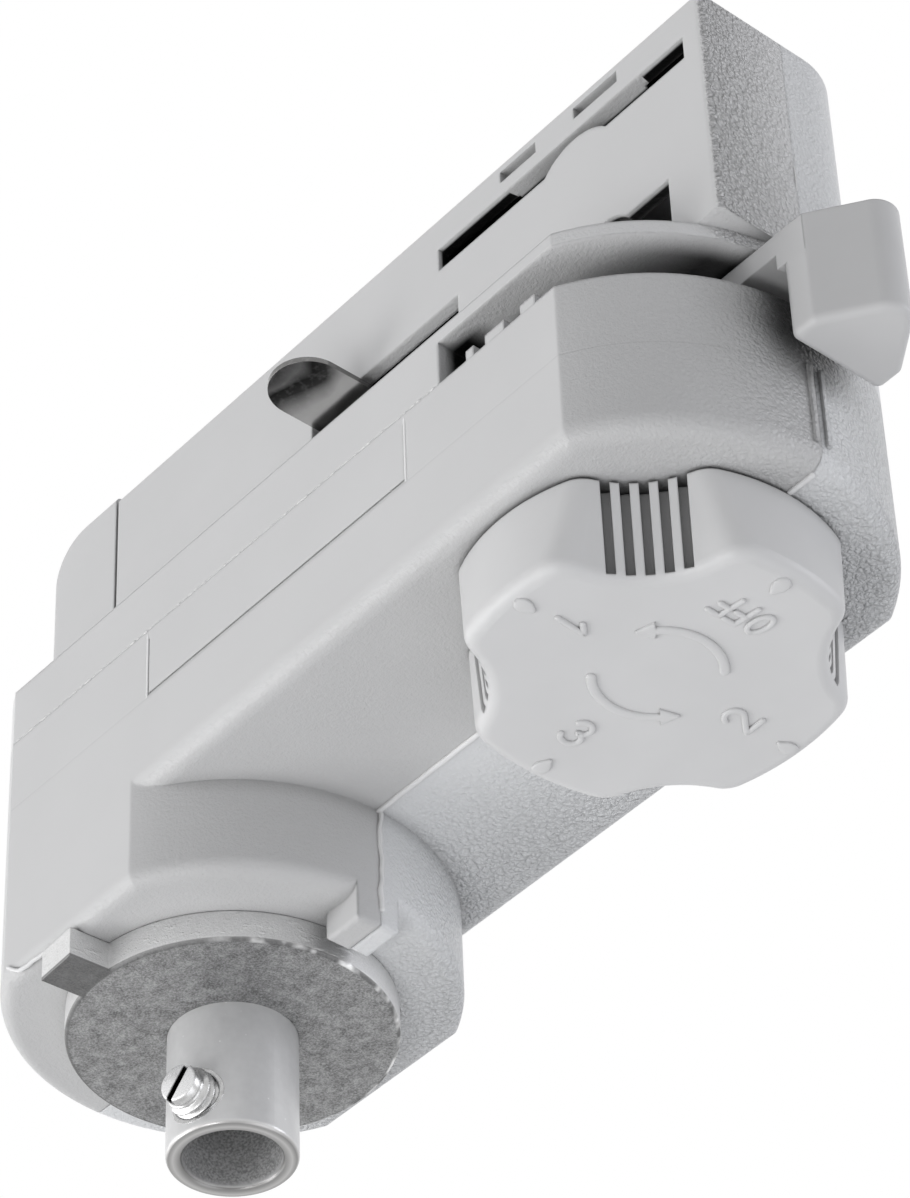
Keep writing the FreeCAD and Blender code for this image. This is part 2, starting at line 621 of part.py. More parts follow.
def build_lever():
    """The locking lever with its neck, and the steel dogs that it turns."""
    grip = doc.addObject("Part::Feature", "lever_grip")
    grip.Shape = grip_prism()
    thick = f"({LEVER_TOP} - {LEVER_BOTTOM})"
    arm = box("lever_arm", "<axis_distance>", "-<lever_arm_width> / 2", LEVER_BOTTOM,
              "<lever_arm_end> - <axis_distance>", "<lever_arm_width>", thick)
    hub = disc("lever_hub", "<lever_hub_radius>", LEVER_BOTTOM, thick, "<axis_distance>")
    neck = disc("lever_neck", "<lever_neck_radius>", LEVER_BOTTOM, f"{LEVER_SHOULDER} - {LEVER_BOTTOM}",
                "<axis_distance>")
    spigot = disc("lever_spigot", "<lever_spigot_radius>", LEVER_BOTTOM,
                  f"{LEVER_SHOULDER} + <dog_thickness> - {LEVER_BOTTOM}", "<axis_distance>")
    bore = disc("lever_bore", "<lever_bore_radius>", f"{LEVER_BOTTOM} - <overrun>", "<rail_height>",
                "<axis_distance>")
    relief = cut("lever_relief",
                 disc("relief_outside", "<grip_start> - <axis_distance>", f"{LEVER_BOTTOM} - <overrun>",
                      "<lever_relief_height> + <overrun>", "<axis_distance>"),
                 disc("relief_inside", "<lever_relief_radius>", f"{LEVER_BOTTOM} - <overrun>",
                      "<rail_height>",
                      "<axis_distance>"))
    lever = cut("lever_whole", fuse("lever_solid", cut("lever_thinned", arm, relief), hub, neck, spigot,
                                    grip), bore)
    lever.Label = "lock_lever"
    bar = common("dog_bar",
                 box("dog_strip", "<axis_distance> - <dog_length>", "-<dog_width> / 2", LEVER_SHOULDER,
                     "2 * <dog_length>", "<dog_width>", "<dog_thickness>"),
                 disc("dog_reach", "<dog_length>", LEVER_SHOULDER, "<dog_thickness>", "<axis_distance>"))
    ring = disc("dog_disc", "<dog_disc_radius>", LEVER_SHOULDER, "<dog_thickness>", "<axis_distance>")
    hole = disc("dog_hole", "<lever_spigot_radius> + <press_fit_gap>", f"{LEVER_SHOULDER} - <overrun>",
                "<dog_thickness> + 2 * <overrun>", "<axis_distance>")
    dogs = cut("dogs_whole", fuse("dogs_solid", bar, ring), hole)
    dogs.Label = "lock_dogs"
    return [lever, dogs]


def circles_meet(first, first_radius, second, second_radius):
    """The point, nearer to the first lobe's axis, that lies at both distances from two centres."""
    line = second - first
    along = (first_radius ** 2 - second_radius ** 2 + line.Length ** 2) / (2 * line.Length)
    aside = math.sqrt(first_radius ** 2 - along ** 2)
    way = line.normalize()
    return first + way * along + FreeCAD.Vector(way.y, -way.x, 0) * aside


def valley_points(level_name, reach):
    """Where a lobe along +X ends, its corner's middle, and where the valley at 45 degrees starts and turns."""
    lobe_radius = size(f"lobe_{level_name}_radius")
    corner_radius = size(f"lobe_{level_name}_corner")
    valley_radius = size("scallop_radius")
    lobe = FreeCAD.Vector(size(f"lobe_{level_name}_reach") - lobe_radius, 0, 0)
    diagonal = FreeCAD.Vector(1, 1, 0).normalize()
    valley = diagonal * (reach + valley_radius)
    corner = circles_meet(lobe, lobe_radius - corner_radius, valley, valley_radius + corner_radius)
    lobe_end = lobe + (corner - lobe).normalize() * lobe_radius
    valley_end = valley + (corner - valley).normalize() * valley_radius
    corner_middle = corner + ((lobe_end + valley_end) * 0.5 - corner).normalize() * corner_radius
    return lobe_end, corner_middle, valley_end, diagonal * reach


def knob_outline(level_name, reaches, z):
    """The knob's plan at one height: four lobes joined by four hollow valleys, each with its own reach."""
    lobe_middle = FreeCAD.Vector(size(f"lobe_{level_name}_reach"), 0, 0)

    def across(point):
        """The same point on the other side of the lobe's axis."""
        return FreeCAD.Vector(point.x, -point.y, 0)

    def beyond(point):
        """The same point on the other side of the valley's diagonal."""
        return FreeCAD.Vector(point.y, point.x, 0)

    arcs = []
    shift = FreeCAD.Vector(size("axis_distance"), 0, z)
    for number, reach in enumerate(reaches):
        lobe_end, corner_middle, valley_end, valley_middle = valley_points(level_name, reach)
        lobe_start = across(valley_points(level_name, reaches[number - 1])[0])
        turn = FreeCAD.Rotation(FreeCAD.Vector(0, 0, 1), 90 * number)
        for points in ((lobe_start, lobe_middle, lobe_end),
                       (lobe_end, corner_middle, valley_end),
                       (valley_end, valley_middle, beyond(valley_end)),
                       (beyond(valley_end), beyond(corner_middle), beyond(lobe_end))):
            arcs.append(Part.Arc(*[turn.multVec(point) + shift for point in points]))
    return Part.Wire([arc.toShape() for arc in arcs])


def knob_shape():
    """The four-lobed knob with leaning valleys, a rounded face edge and upright ribs."""
    depth = size("knob_depth")
    top = -size("flange_height") - size("lower_depth") - size("knob_gap")
    bottom = top - depth
    base_reach = size("scallop_base_reach")
    face_reaches = [size("side_face_reach"), size("far_face_reach"), size("side_face_reach"),
                    size("thumb_face_reach")]
    face = knob_outline("face", face_reaches, bottom)
    base = knob_outline("base", [base_reach] * len(face_reaches), top)
    knob = Part.makeLoft([face, base], True, True)
    rim = [edge for edge in knob.Edges if level(edge, bottom)]
    knob = knob.makeFillet(size("knob_edge_radius"), rim)
    grooves = []
    lines = int(size("rib_count")) - 1
    for quarter, face_reach in enumerate(face_reaches):
        lean = math.atan2(base_reach - face_reach, depth)
        for number in range(lines):
            offset = (number - (lines - 1) / 2) * size("rib_pitch")
            reach = face_reach + 0.5 * offset ** 2 / size("scallop_radius")
            low = FreeCAD.Vector(reach - size("rib_groove_depth"), offset - size("rib_groove_width") / 2, 0)
            groove = Part.makeBox(size("rib_groove_depth") + 2 * size("overrun"), size("rib_groove_width"),
                                  2 * depth, low)
            groove.rotate(FreeCAD.Vector(reach, 0, 0), FreeCAD.Vector(0, 1, 0), math.degrees(lean))
            groove.rotate(FreeCAD.Vector(), FreeCAD.Vector(0, 0, 1), 45 + 90 * quarter)
            groove.translate(FreeCAD.Vector(size("axis_distance"), 0, bottom + size("knob_edge_radius") / 2))
            grooves.append(groove)
    return knob.cut(grooves)


def build_selector():
    """Knob, spindle, drum, blade and cap, which turn together, and the click spring."""
    knob_body = doc.addObject("Part::Feature", "knob_body")
    knob_body.Shape = knob_shape()
    knob_top = f"({LOWER_BOTTOM} - <knob_gap>)"
    socket = disc("knob_socket", "<spindle_radius> + <press_fit_gap>", f"{knob_top} - <knob_depth> / 2",
                  "<knob_depth>", "<axis_distance>")
    knob = cut("knob_whole", knob_body, socket)
    knob.Label = "selector_knob"
    spindle = disc("spindle_whole", "<spindle_radius>", f"{knob_top} - <knob_depth> / 2",
                   f"<spindle_top> - {knob_top} + <knob_depth> / 2", "<axis_distance>")
    spindle.Label = "selector_spindle"
    hole = "<spindle_radius> + <press_fit_gap>"
    drum = cut("drum_whole",
               disc("drum_disc", DRUM_RADIUS, "<drum_bottom>", "<blade_level> - <drum_bottom>",
                    "<axis_distance>"),
               disc("drum_hole", hole, "<drum_bottom> - <overrun>", "<rail_height>", "<axis_distance>"))
    drum.Label = "contact_drum"
    blade_bar = common("blade_bar",
                       box("blade_strip", "<axis_distance>", "-<blade_width> / 2", "<blade_level>",
                           "<blade_reach>",
                           "<blade_width>", "<blade_thickness>"),
                       disc("blade_sweep", "<blade_reach>", "<blade_level>", "<blade_thickness>",
                            "<axis_distance>"))
    blade_ring = disc("blade_ring", f"{DRUM_RADIUS} - <blade_ring_inset>", "<blade_level>",
                      "<blade_thickness>", "<axis_distance>")
    blade = cut("blade_whole", fuse("blade_solid", blade_bar, blade_ring),
                disc("blade_hole", hole, "<blade_level> - <overrun>", "<rail_height>", "<axis_distance>"))
    blade.Label = "phase_contact"
    cap_z = "(<blade_level> + <blade_thickness> + <cap_gap>)"
    cap = cut("cap_whole",
              disc("cap_disc", DRUM_RADIUS, cap_z, f"<spindle_top> - {cap_z}", "<axis_distance>"),
              disc("cap_hole", hole, f"{cap_z} - <overrun>", "<rail_height>", "<axis_distance>"))
    cap.Label = "drum_cap"
    notches = []
    for number in range(4):
        angle = math.radians(90 * number)
        out = "(<detent_radius> + <notch_radius> / 2)"
        notches.append(disc(f"detent_notch_{number + 1}", "<notch_radius>", "<detent_level> - <overrun>",
                            "<detent_thickness> + 2 * <overrun>",
                            f"<axis_distance> + {round(math.cos(angle))} * {out}",
                            f"{round(math.sin(angle))} * {out}"))
    ring = cut("detent_whole",
               disc("detent_disc", "<detent_radius>", "<detent_level>", "<detent_thickness>",
                    "<axis_distance>"),
               disc("detent_hole", hole, "<detent_level> - <overrun>", "<detent_thickness> + 2 * <overrun>",
                    "<axis_distance>"), *notches)
    ring.Label = "detent_wheel"
    spring = box("spring_whole", "<axis_distance> - <detent_spring_length> / 2",
                 "<detent_radius> + <detent_spring_gap>", "<detent_level>", "<detent_spring_length>",
                 "<detent_spring_thickness>", "<detent_thickness>")
    spring.Label = "detent_spring"
    return [knob, spindle, drum, blade, cap, ring, spring]


def build_contacts():
    """The sprung earth and neutral contacts, flat tongues with round noses."""
    parts = []
    for name, sign in (("earth", -1), ("neutral", 1)):
        radius = f"<{name}_width> / 2"
        centre = f"(<{name}_reach> - {radius})"
        start = f"-<{name}_tail>" if sign > 0 else f"-{centre}"
        strip = box(f"{name}_strip", f"<{name}_start>", start, f"<{name}_level>", f"<{name}_width>",
                    f"{centre} + <{name}_tail>", f"<{name}_thickness>")
        nose = disc(f"{name}_nose", radius, f"<{name}_level>", f"<{name}_thickness>",
                    f"<{name}_start> + {radius}",
                    f"{sign} * {centre}")
        contact = fuse(f"{name}_whole", strip, nose)
        contact.Label = f"{name}_contact"
        parts.append(contact)
    return parts


def build_nipple():
    """The turning plate with its tube, washer and nut, and the set screw in the tube."""
    rim = disc("plate_disc", "<plate_radius>", PLATE_BOTTOM, "<plate_thickness>")
    bottom_z = (-size("flange_height") - size("lower_depth") - size("boss_depth") - size("plate_gap")
                - size("plate_thickness"))
    rim = rounded("plate_round", rim, size("plate_edge_radius"), lambda edge: level(edge, bottom_z))
    lug = box("plate_lug", "0", "-<lug_width> / 2", PLATE_BOTTOM, "<lug_radius>", "<lug_width>",
              "<plate_thickness>")
    lug.Placement.Rotation = FreeCAD.Rotation(FreeCAD.Vector(0, 0, 1), 0)
    lug_angle = math.radians(size("lug_angle"))
    half = size("lug_width") / 2
    place(lug, f"<lug_width> / 2 * {math.sin(lug_angle):.9f}",
          f"-<lug_width> / 2 * {math.cos(lug_angle):.9f}",
          PLATE_BOTTOM)
    bind(lug, Placement_dot_Rotation_dot_Angle="<lug_angle>")
    neck = disc("plate_neck", "<neck_radius>", PLATE_BOTTOM,
                "<plate_thickness> + <plate_gap> + <boss_floor> + <contact_clearance>")
    bore = disc("plate_bore", "<tube_radius> + <press_fit_gap>", f"{PLATE_BOTTOM} - <overrun>",
                "<rail_height>")
    plate = cut("plate_whole", fuse("plate_solid", rim, lug, neck), bore)
    plate.Label = "nipple_plate"
    washer_z = f"({BOSS_BOTTOM} + <boss_floor> + <contact_clearance>)"
    washer = cut("washer_whole", disc("washer_disc", "<washer_radius>", washer_z, "<washer_thickness>"),
                 disc("washer_hole", "<tube_radius> + <press_fit_gap>", f"{washer_z} - <overrun>",
                      "<rail_height>"))
    washer.Label = "friction_washer"
    nut_z = f"({washer_z} + <washer_thickness>)"
    hexagon = doc.addObject("Part::Prism", "nut_prism")
    hexagon.Polygon = 6
    bind(hexagon, Circumradius=f"<nut_across_flats> / {math.sqrt(3):.9f}", Height="<nut_height>")
    place(hexagon, "0", "0", nut_z)
    nut = cut("nut_whole", hexagon, disc("nut_hole", "<tube_radius> + <press_fit_gap>",
                                         f"{nut_z} - <overrun>", "<rail_height>"))
    nut.Label = "nipple_nut"
    tube_z = f"({PLATE_BOTTOM} - <tube_length>)"
    tube_height = f"({nut_z} + <nut_height> + <tube_above_nut> - {tube_z})"
    tube_disc = disc("tube_disc", "<tube_radius>", tube_z, tube_height)
    tube_hollow = cut("tube_hollow", tube_disc, disc("tube_bore", "<tube_bore_radius>",
                                                     f"{tube_z} - <overrun>",
                                                     f"{tube_height} + 2 * <overrun>"))
    end_z = bottom_z - size("tube_length")
    tube_round = rounded("tube_round", tube_hollow, size("tube_edge_radius"), lambda edge: level(edge,
                                                                                                 end_z))
    angle = math.radians(size("screw_angle"))
    aim = (math.cos(angle), math.sin(angle), 0)
    screw_z = f"{PLATE_BOTTOM} - <screw_drop>"
    start = "(<tube_radius> + <screw_stand_out> - <screw_length>)"
    spot = (f"{start} * {aim[0]:.9f}", f"{start} * {aim[1]:.9f}")
    tube = cut("tube_whole", tube_round, rod("screw_hole", "<screw_radius> + <running_fit>", "0", "0",
                                             screw_z,
                                             "2 * <tube_radius>", aim))
    tube.Label = "nipple_tube"
    shank = rod("screw_shank", "<screw_radius>", *spot, screw_z, "<screw_length>", aim)
    chamfer = size("screw_radius") - size("screw_tip_radius")
    doc.recompute()
    tapered = doc.addObject("Part::Chamfer", "screw_chamfer")
    tapered.Base = shank
    tapered.Edges = [(number, chamfer, chamfer) for number, edge in enumerate(shank.Shape.Edges, 1)
                     if edge.Curve.TypeId == "Part::GeomCircle"]
    slot = box("screw_slot", "0", "0", "0", "<screw_slot_depth> + <overrun>", "<screw_slot_width>",
               "4 * <screw_radius>")
    out = size("tube_radius") + size("screw_stand_out") - size("screw_slot_depth")
    turn = FreeCAD.Rotation(FreeCAD.Vector(0, 0, 1), size("screw_angle"))
    tilt = FreeCAD.Rotation(FreeCAD.Vector(1, 0, 0), size("screw_slot_tilt"))
    low = FreeCAD.Vector(out, -size("screw_slot_width") / 2, -2 * size("screw_radius"))
    swing = FreeCAD.Placement(FreeCAD.Vector(), tilt)
    lift = FreeCAD.Placement(FreeCAD.Vector(0, 0, bottom_z - size("screw_drop")), turn)
    slot.setExpression("Placement.Base.x", None)
    slot.setExpression("Placement.Base.y", None)
    slot.setExpression("Placement.Base.z", None)
    slot.Placement = lift.multiply(swing).multiply(FreeCAD.Placement(low, FreeCAD.Rotation()))
    screw = cut("screw_whole", tapered, slot)
    screw.Label = "grub_screw"
    return [plate, washer, nut, tube, screw]


def build_terminals():
    """The terminal block on the lower floor, with three clamps and their screws."""
    block = box("terminal_box", "<terminal_start>", "-<terminal_half_width>", LOWER_FLOOR,
                "<terminal_length>",
                "2 * <terminal_half_width>", "<terminal_height>")
    top_z = f"({LOWER_FLOOR} + <terminal_height>)"
    clamp_z = f"({LOWER_FLOOR} + <terminal_height> / 2 - <terminal_clamp_radius>)"
    middle_x = "<terminal_start> + <terminal_length> / 2"
    bores = []
    clamps = []
    screws = []
    for number, step in enumerate((-1, 0, 1), 1):
        y = f"{step} * <terminal_pitch>"
        bores.append(rod(f"clamp_bore_{number}", "<terminal_clamp_radius> + <press_fit_gap>",
                         "<terminal_start> - <overrun>", y, f"{clamp_z} + <terminal_clamp_radius>",
                         "<terminal_length> + 2 * <overrun>", (1, 0, 0)))
        bores.append(disc(f"screw_bore_{number}", "<terminal_screw_radius> + <press_fit_gap>",
                          f"{clamp_z} + 2 * <terminal_clamp_radius>", "<terminal_height>", middle_x, y))
        sleeve = rod(f"clamp_rod_{number}", "<terminal_clamp_radius>", "<terminal_start>", y,
                     f"{clamp_z} + <terminal_clamp_radius>", "<terminal_length>", (1, 0, 0))
        hollow = rod(f"clamp_hollow_{number}", "<terminal_clamp_radius> / 2",
                     "<terminal_start> - <overrun>", y,
                     f"{clamp_z} + <terminal_clamp_radius>", "<terminal_length> + 2 * <overrun>", (1, 0, 0))
        clamps.append(cut(f"clamp_{number}", sleeve, hollow))
        low = f"({clamp_z} + 2 * <terminal_clamp_radius> + <press_fit_gap>)"
        head = disc(f"terminal_screw_{number}", "<terminal_screw_radius>", low,
                    f"{top_z} + <terminal_screw_height> / 2 - {low}", middle_x, y)
        slit = box(f"terminal_slit_{number}", f"{middle_x} - 2 * <terminal_screw_radius>",
                   f"{y} - <terminal_slit_width> / 2",
                   f"{top_z} + <terminal_screw_height> / 2 - <terminal_slit_depth>",
                   "4 * <terminal_screw_radius>", "<terminal_slit_width>", "<terminal_slit_depth> + <overrun>")
        screws.append(cut(f"terminal_slotted_{number}", head, slit))
    block = cut("terminal_whole", block, *bores)
    block.Label = "terminal_block"
    clamp_group = doc.addObject("Part::Compound", "clamp_group")
    clamp_group.Links = clamps
    clamp_group.Label = "terminal_clamps"
    screw_group = doc.addObject("Part::Compound", "terminal_screw_group")
    screw_group.Links = screws
    screw_group.Label = "terminal_screws"
    return [block, clamp_group, screw_group]


def export(nodes):
    """Checks every object of the document and writes each sub-part to its own file."""
    doc.recompute()
    for item in doc.Objects:
        if "Invalid" in item.State or "Error" in item.State:
            raise RuntimeError(f"{item.Label} did not build: {item.State}")
    os.makedirs("parts", exist_ok=True)
    if len(nodes) > NODE_LIMIT:
        raise RuntimeError("too many nodes")
    for node in nodes:
        shape = node.Shape
        if shape.isNull() or not shape.isValid() or not shape.Solids:
            raise RuntimeError(f"{node.Label} has no valid solid")
        shape.exportStep(f"parts/{node.Label}.step")
        print(f"{node.Label}: {len(shape.Solids)} solid(s), {shape.Volume:.1f} mm3")


nodes = []
for build in (build_lower_housing, build_rail_housing, build_end_key, build_lever, build_selector,
              build_contacts,
              build_nipple, build_terminals):
    nodes += build()
export(nodes)
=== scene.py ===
# %% [markdown]
# # Dressing a track light adapter
# The adapter hangs a lamp from a lighting track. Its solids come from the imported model, in metres,
# with +Z up into the track and +X from the lamp's nipple to the selector knob. This script gives
# each solid the finish of the real one and adds what is too fine for the solids: raised marks, a
# screw thread, seams and flash.

import bmesh
import bpy
import numpy as np
from mathutils import Matrix, Vector


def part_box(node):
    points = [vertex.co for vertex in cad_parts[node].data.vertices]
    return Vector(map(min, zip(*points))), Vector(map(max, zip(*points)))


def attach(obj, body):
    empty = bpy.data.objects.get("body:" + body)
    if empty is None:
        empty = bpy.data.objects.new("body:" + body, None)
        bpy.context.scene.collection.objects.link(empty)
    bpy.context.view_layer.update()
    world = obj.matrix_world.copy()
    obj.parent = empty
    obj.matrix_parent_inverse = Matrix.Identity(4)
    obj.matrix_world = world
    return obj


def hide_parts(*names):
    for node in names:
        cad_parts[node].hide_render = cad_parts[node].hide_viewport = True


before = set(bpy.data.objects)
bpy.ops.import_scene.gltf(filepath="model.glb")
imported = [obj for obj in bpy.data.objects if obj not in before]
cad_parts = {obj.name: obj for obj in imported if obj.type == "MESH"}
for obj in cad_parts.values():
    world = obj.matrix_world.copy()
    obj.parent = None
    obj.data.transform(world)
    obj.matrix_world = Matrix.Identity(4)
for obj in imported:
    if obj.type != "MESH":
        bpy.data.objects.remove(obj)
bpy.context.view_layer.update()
MM = 0.001

# %% [markdown]
# ## Places that several pieces share
# Everything here is in millimetres, as on a drawing, and is turned into metres where a mesh or a
# mask is made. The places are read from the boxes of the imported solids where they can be, so a
# piece stays where its carrier is. The other levels are those of the model's own drawing.

# %% Shared places
def box_mm(node):
    """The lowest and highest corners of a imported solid, in millimetres."""
    return [np.array(corner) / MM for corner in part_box(node)]


KNOB_LOW, KNOB_HIGH = box_mm("selector_knob")
KNOB_X = (KNOB_LOW[0] + KNOB_HIGH[0]) / 2
SHELL_LOW, SHELL_HIGH = box_mm("lower_shell_front")
TUBE_LOW, TUBE_HIGH = box_mm("nipple_tube")
TUBE_RADIUS = TUBE_HIGH[0]
BORE_RADIUS = 3.9
PLATE_BOTTOM = box_mm("nipple_plate")[0][2]
PLATE_RIM_RADIUS = 12.95
SIDE_Y = SHELL_LOW[1]
SEAM_Z = -5.55
SPLIT_LINE_Z = -12.6
FLOOR_Z = -21.1
BOSS_Z = -29.9
BOSS_RADIUS = -SHELL_LOW[0]
END_X = SHELL_HIGH[0]
RAIL_END_X = box_mm("rail_shell_front")[1][0]
print("knob axis", round(KNOB_X, 2), "knob face", round(KNOB_LOW[2], 2), "side", round(SIDE_Y, 2))

# %% The hollows, as the finishes need them
RAIL_HOLLOW_X = (-4.4, 68.2)
RAIL_HOLLOW_Z = (0.9, 23.2)
RAIL_CORNER = (63.3, 2.65)
RAIL_CORNER_INSIDE = 5.6
THIN_WALL_Y, THICK_WALL_Y = 8.3, 7.25
LOW_OPENINGS_Z = 10.0
CONTACT_SLOT_Z = (15.0, 20.6)
CONTACT_BAR_X = (46.3, 62.0)
LEVER_SLOT_X = 45.9
LEVER_SLOT_Z = (-5.5, -1.25)
LOWER_AXES_X = (0.0, 50.0)
LOWER_HOLLOW_RADIUS = 14.3
LOWER_HOLLOW_Z = (-20.0, -5.7)
INSERT_EDGES_X = (9.97, 41.88)
print("rail hollow from", RAIL_HOLLOW_X[0], "to", RAIL_HOLLOW_X[1])

# %% The grub screw's own axes
SCREW_TURN = np.radians(-73.0)
OUT = np.array([np.cos(SCREW_TURN), np.sin(SCREW_TURN), 0.0])
SIDE = np.array([-OUT[1], OUT[0], 0.0])
UP = np.array([0.0, 0.0, 1.0])
screw_low, screw_high = box_mm("grub_screw")
SCREW_Z = (screw_low[2] + screw_high[2]) / 2
CREST = (screw_high[2] - screw_low[2]) / 2
SCREW_END = (screw_low[1] + CREST * abs(SIDE[1])) / OUT[1]
SCREW_START = (screw_high[1] - 1.7 * abs(SIDE[1])) / OUT[1]
print("screw from", round(SCREW_START, 2), "to", round(SCREW_END, 2), "crest", round(CREST, 2))

# %% [markdown]
# ## Finishes
# Every finish starts from a Principled shader. The mottle and the fine bump come from noise on
# Object coordinates, so they stay on the piece when it moves. A second, larger noise varies the
# tone a little, as real mouldings do. A bevel node rounds the light on hard edges, which is what
# makes moulded plastic look soft. The roughness of plastic is even, since patches of it would show
# as flakes on a flat wall.


# %% A small node helper
LIGHT_SAMPLES = 4
SHADE_BLACK = (0.003, 0.003, 0.003)


class Nodes:
    """Adds nodes to one material and joins them, so that each finish reads as a short list."""

    def __init__(self, name):
        self.material = bpy.data.materials.new(name)
        self.material.use_nodes = True
        self.tree = self.material.node_tree
        self.shader = self.tree.nodes["Principled BSDF"]
        spot = self.add("ShaderNodeTexCoord")
        self.place = spot.outputs["Object"]
        self.x, self.y, self.z = self.add("ShaderNodeSeparateXYZ", {"Vector": self.place}).outputs
        self.faces = self.add("ShaderNodeSeparateXYZ", {"Vector": spot.outputs["Normal"]}).outputs

    def add(self, kind, inputs=None, **settings):
        """One node, with values or links for its inputs."""
        node = self.tree.nodes.new(kind)
        for key, value in settings.items():
            setattr(node, key, value)
        for key, value in (inputs or {}).items():
            self.feed(node.inputs[key], value)
        return node

    def feed(self, socket, value):
        """Links a socket to another, or sets its value."""
        if isinstance(value, bpy.types.NodeSocket):
            self.tree.links.new(value, socket)
        else:
            socket.default_value = value

    def shade(self, **values):
        """Sets inputs of the shader by name, with underscores for spaces."""
        for key, value in values.items():
            self.feed(self.shader.inputs[key.replace("_", " ")], value)

    def calc(self, operation, first, second):
        """One sum, product or other step on two values."""
        return self.add("ShaderNodeMath", {0: first, 1: second}, operation=operation).outputs[0]

    def size(self, value):
        """A value without its sign."""
        return self.calc("ABSOLUTE", value, 0.0)

    def product(self, *values):
        """All the values multiplied together."""
        total = values[0]
        for value in values[1:]:
            total = self.calc("MULTIPLY", total, value)
        return total

    def noise(self, size_mm, detail=2.0, roughness=0.5, place=None):
        """Noise whose grains are about the given size."""
        inputs = {"Vector": place or self.place, "Scale": 1 / (size_mm * MM), "Detail": detail,
                  "Roughness": roughness}
        return self.add("ShaderNodeTexNoise", inputs).outputs["Fac"]

    def cells(self, size_mm, place=None):
        """How far the nearest of many scattered points is, with points about a size apart."""
        inputs = {"Vector": place or self.place, "Scale": 1 / (size_mm * MM)}
        return self.add("ShaderNodeTexVoronoi", inputs).outputs["Distance"]

    def spread(self, value, low, high, to_low=0.0, to_high=1.0, smooth=False):
        """Stretches a value from one range to another, in a straight line or with eased ends."""
        inputs = {"Value": value, "From Min": low, "From Max": high, "To Min": to_low,
                  "To Max": to_high}
        kind = "SMOOTHSTEP" if smooth else "LINEAR"
        return self.add("ShaderNodeMapRange", inputs, interpolation_type=kind).outputs["Result"]

    def above(self, value, limit_mm, soft_mm=0.15):
        """1 where a coordinate is above a limit, 0 below it."""
        return self.spread(value, (limit_mm - soft_mm) * MM, (limit_mm + soft_mm) * MM)

    def below(self, value, limit_mm, soft_mm=0.15):
        """1 where a coordinate is below a limit, 0 above it."""
        return self.spread(value, (limit_mm - soft_mm) * MM, (limit_mm + soft_mm) * MM, 1.0, 0.0)

    def line(self, value, at_mm, width_mm):
        """1 on a hairline where a coordinate has the given value, falling to 0 at its width."""
        away = self.size(self.calc("SUBTRACT", value, at_mm * MM))
        return self.spread(away, 0.0, width_mm * MM, 1.0, 0.0, smooth=True)

    def between(self, value, limits_mm, soft_mm=0.15):
        """1 where a coordinate is between two limits, 0 outside them."""
        return self.product(self.above(value, limits_mm[0], soft_mm),
                            self.below(value, limits_mm[1], soft_mm))

    def blend(self, factor, dark, light):
        """A colour between two others, each a colour or a link."""
        node = self.add("ShaderNodeMix", data_type="RGBA")
        for socket, value in ((0, factor), (6, dark), (7, light)):
            self.feed(node.inputs[socket], (*value, 1.0) if isinstance(value, tuple) else value)
        return node.outputs[2]

    def ramp(self, value, stops):
        """A grey that follows a value from 0 to 1 through stops of a place and a display level."""
        node = self.add("ShaderNodeValToRGB", {"Fac": value})
        points = node.color_ramp.elements
        while len(points) < len(stops):
            points.new(0.5)
        for point, (where, level) in zip(points, stops):
            point.position = where
            point.color = (*grey(level, 0.01), 1.0)
        return node.outputs["Color"]

    def distance(self, *parts):
        """The length of a vector from its parts."""
        squares = [self.product(part, part) for part in parts]
        total = squares[0]
        for square in squares[1:]:
            total = self.calc("ADD", total, square)
        return self.calc("SQRT", total, 0.0)

    def shelter(self, reach_mm):
        """1 in the open and near 0 deep in a corner or a narrow gap, where little light gets in."""
        inputs = {"Distance": reach_mm * MM}
        return self.add("ShaderNodeAmbientOcclusion", inputs, samples=LIGHT_SAMPLES).outputs["AO"]

    def paint_shade(self, colour, reach_mm, dark_at, open_at, amount):
        """Painted shade: a colour that turns black by up to an amount where it is sheltered."""
        shade = self.spread(self.shelter(reach_mm), dark_at, open_at, amount, 0.0)
        return self.blend(shade, colour, SHADE_BLACK)

    def bump(self, height_mm, normal=None, strength=1.0):
        """Bump from a height in millimetres, on top of another normal if one is given."""
        inputs = {"Height": height_mm, "Distance": MM, "Strength": strength}
        if normal is not None:
            inputs["Normal"] = normal
        return self.add("ShaderNodeBump", inputs).outputs["Normal"]

    def soft_edges(self, radius_mm):
        """A normal that rounds the light over edges."""
        inputs = {"Radius": radius_mm * MM}
        return self.add("ShaderNodeBevel", inputs, samples=LIGHT_SAMPLES).outputs["Normal"]


def grey(level, warmth=0.0):
    """A near-grey from a display level of 0 to 255, a little warm or cool."""
    value = (level / 255) ** 2.2
    return (value * (1 + warmth), value, value * (1 - warmth))


print("a grey of level 205 is", [round(part, 3) for part in grey(205)])

# %% [markdown]
# ## Moulded plastic
# The housing is one plastic with three surfaces. Its flat sides are smooth, because they slid along
# the mould as it opened. The walls that face the knob end carry a spark-eroded grain, fine on the
# front half and leathery on the rear half. Its inside is painted black as shade, and its corners,
# the grooves of its grain and the wall under the lever get painted shade too. So one function builds
# the finish and each shell gives its own depths and masks.


# %% The housing's plastic
SIDE_LEVEL = 205
SEAM_LEVEL = 135
GROOVE_SHADE_LEVEL = 112
PEBBLE_MM = 0.36
PIT_SPACING_MM = 0.8


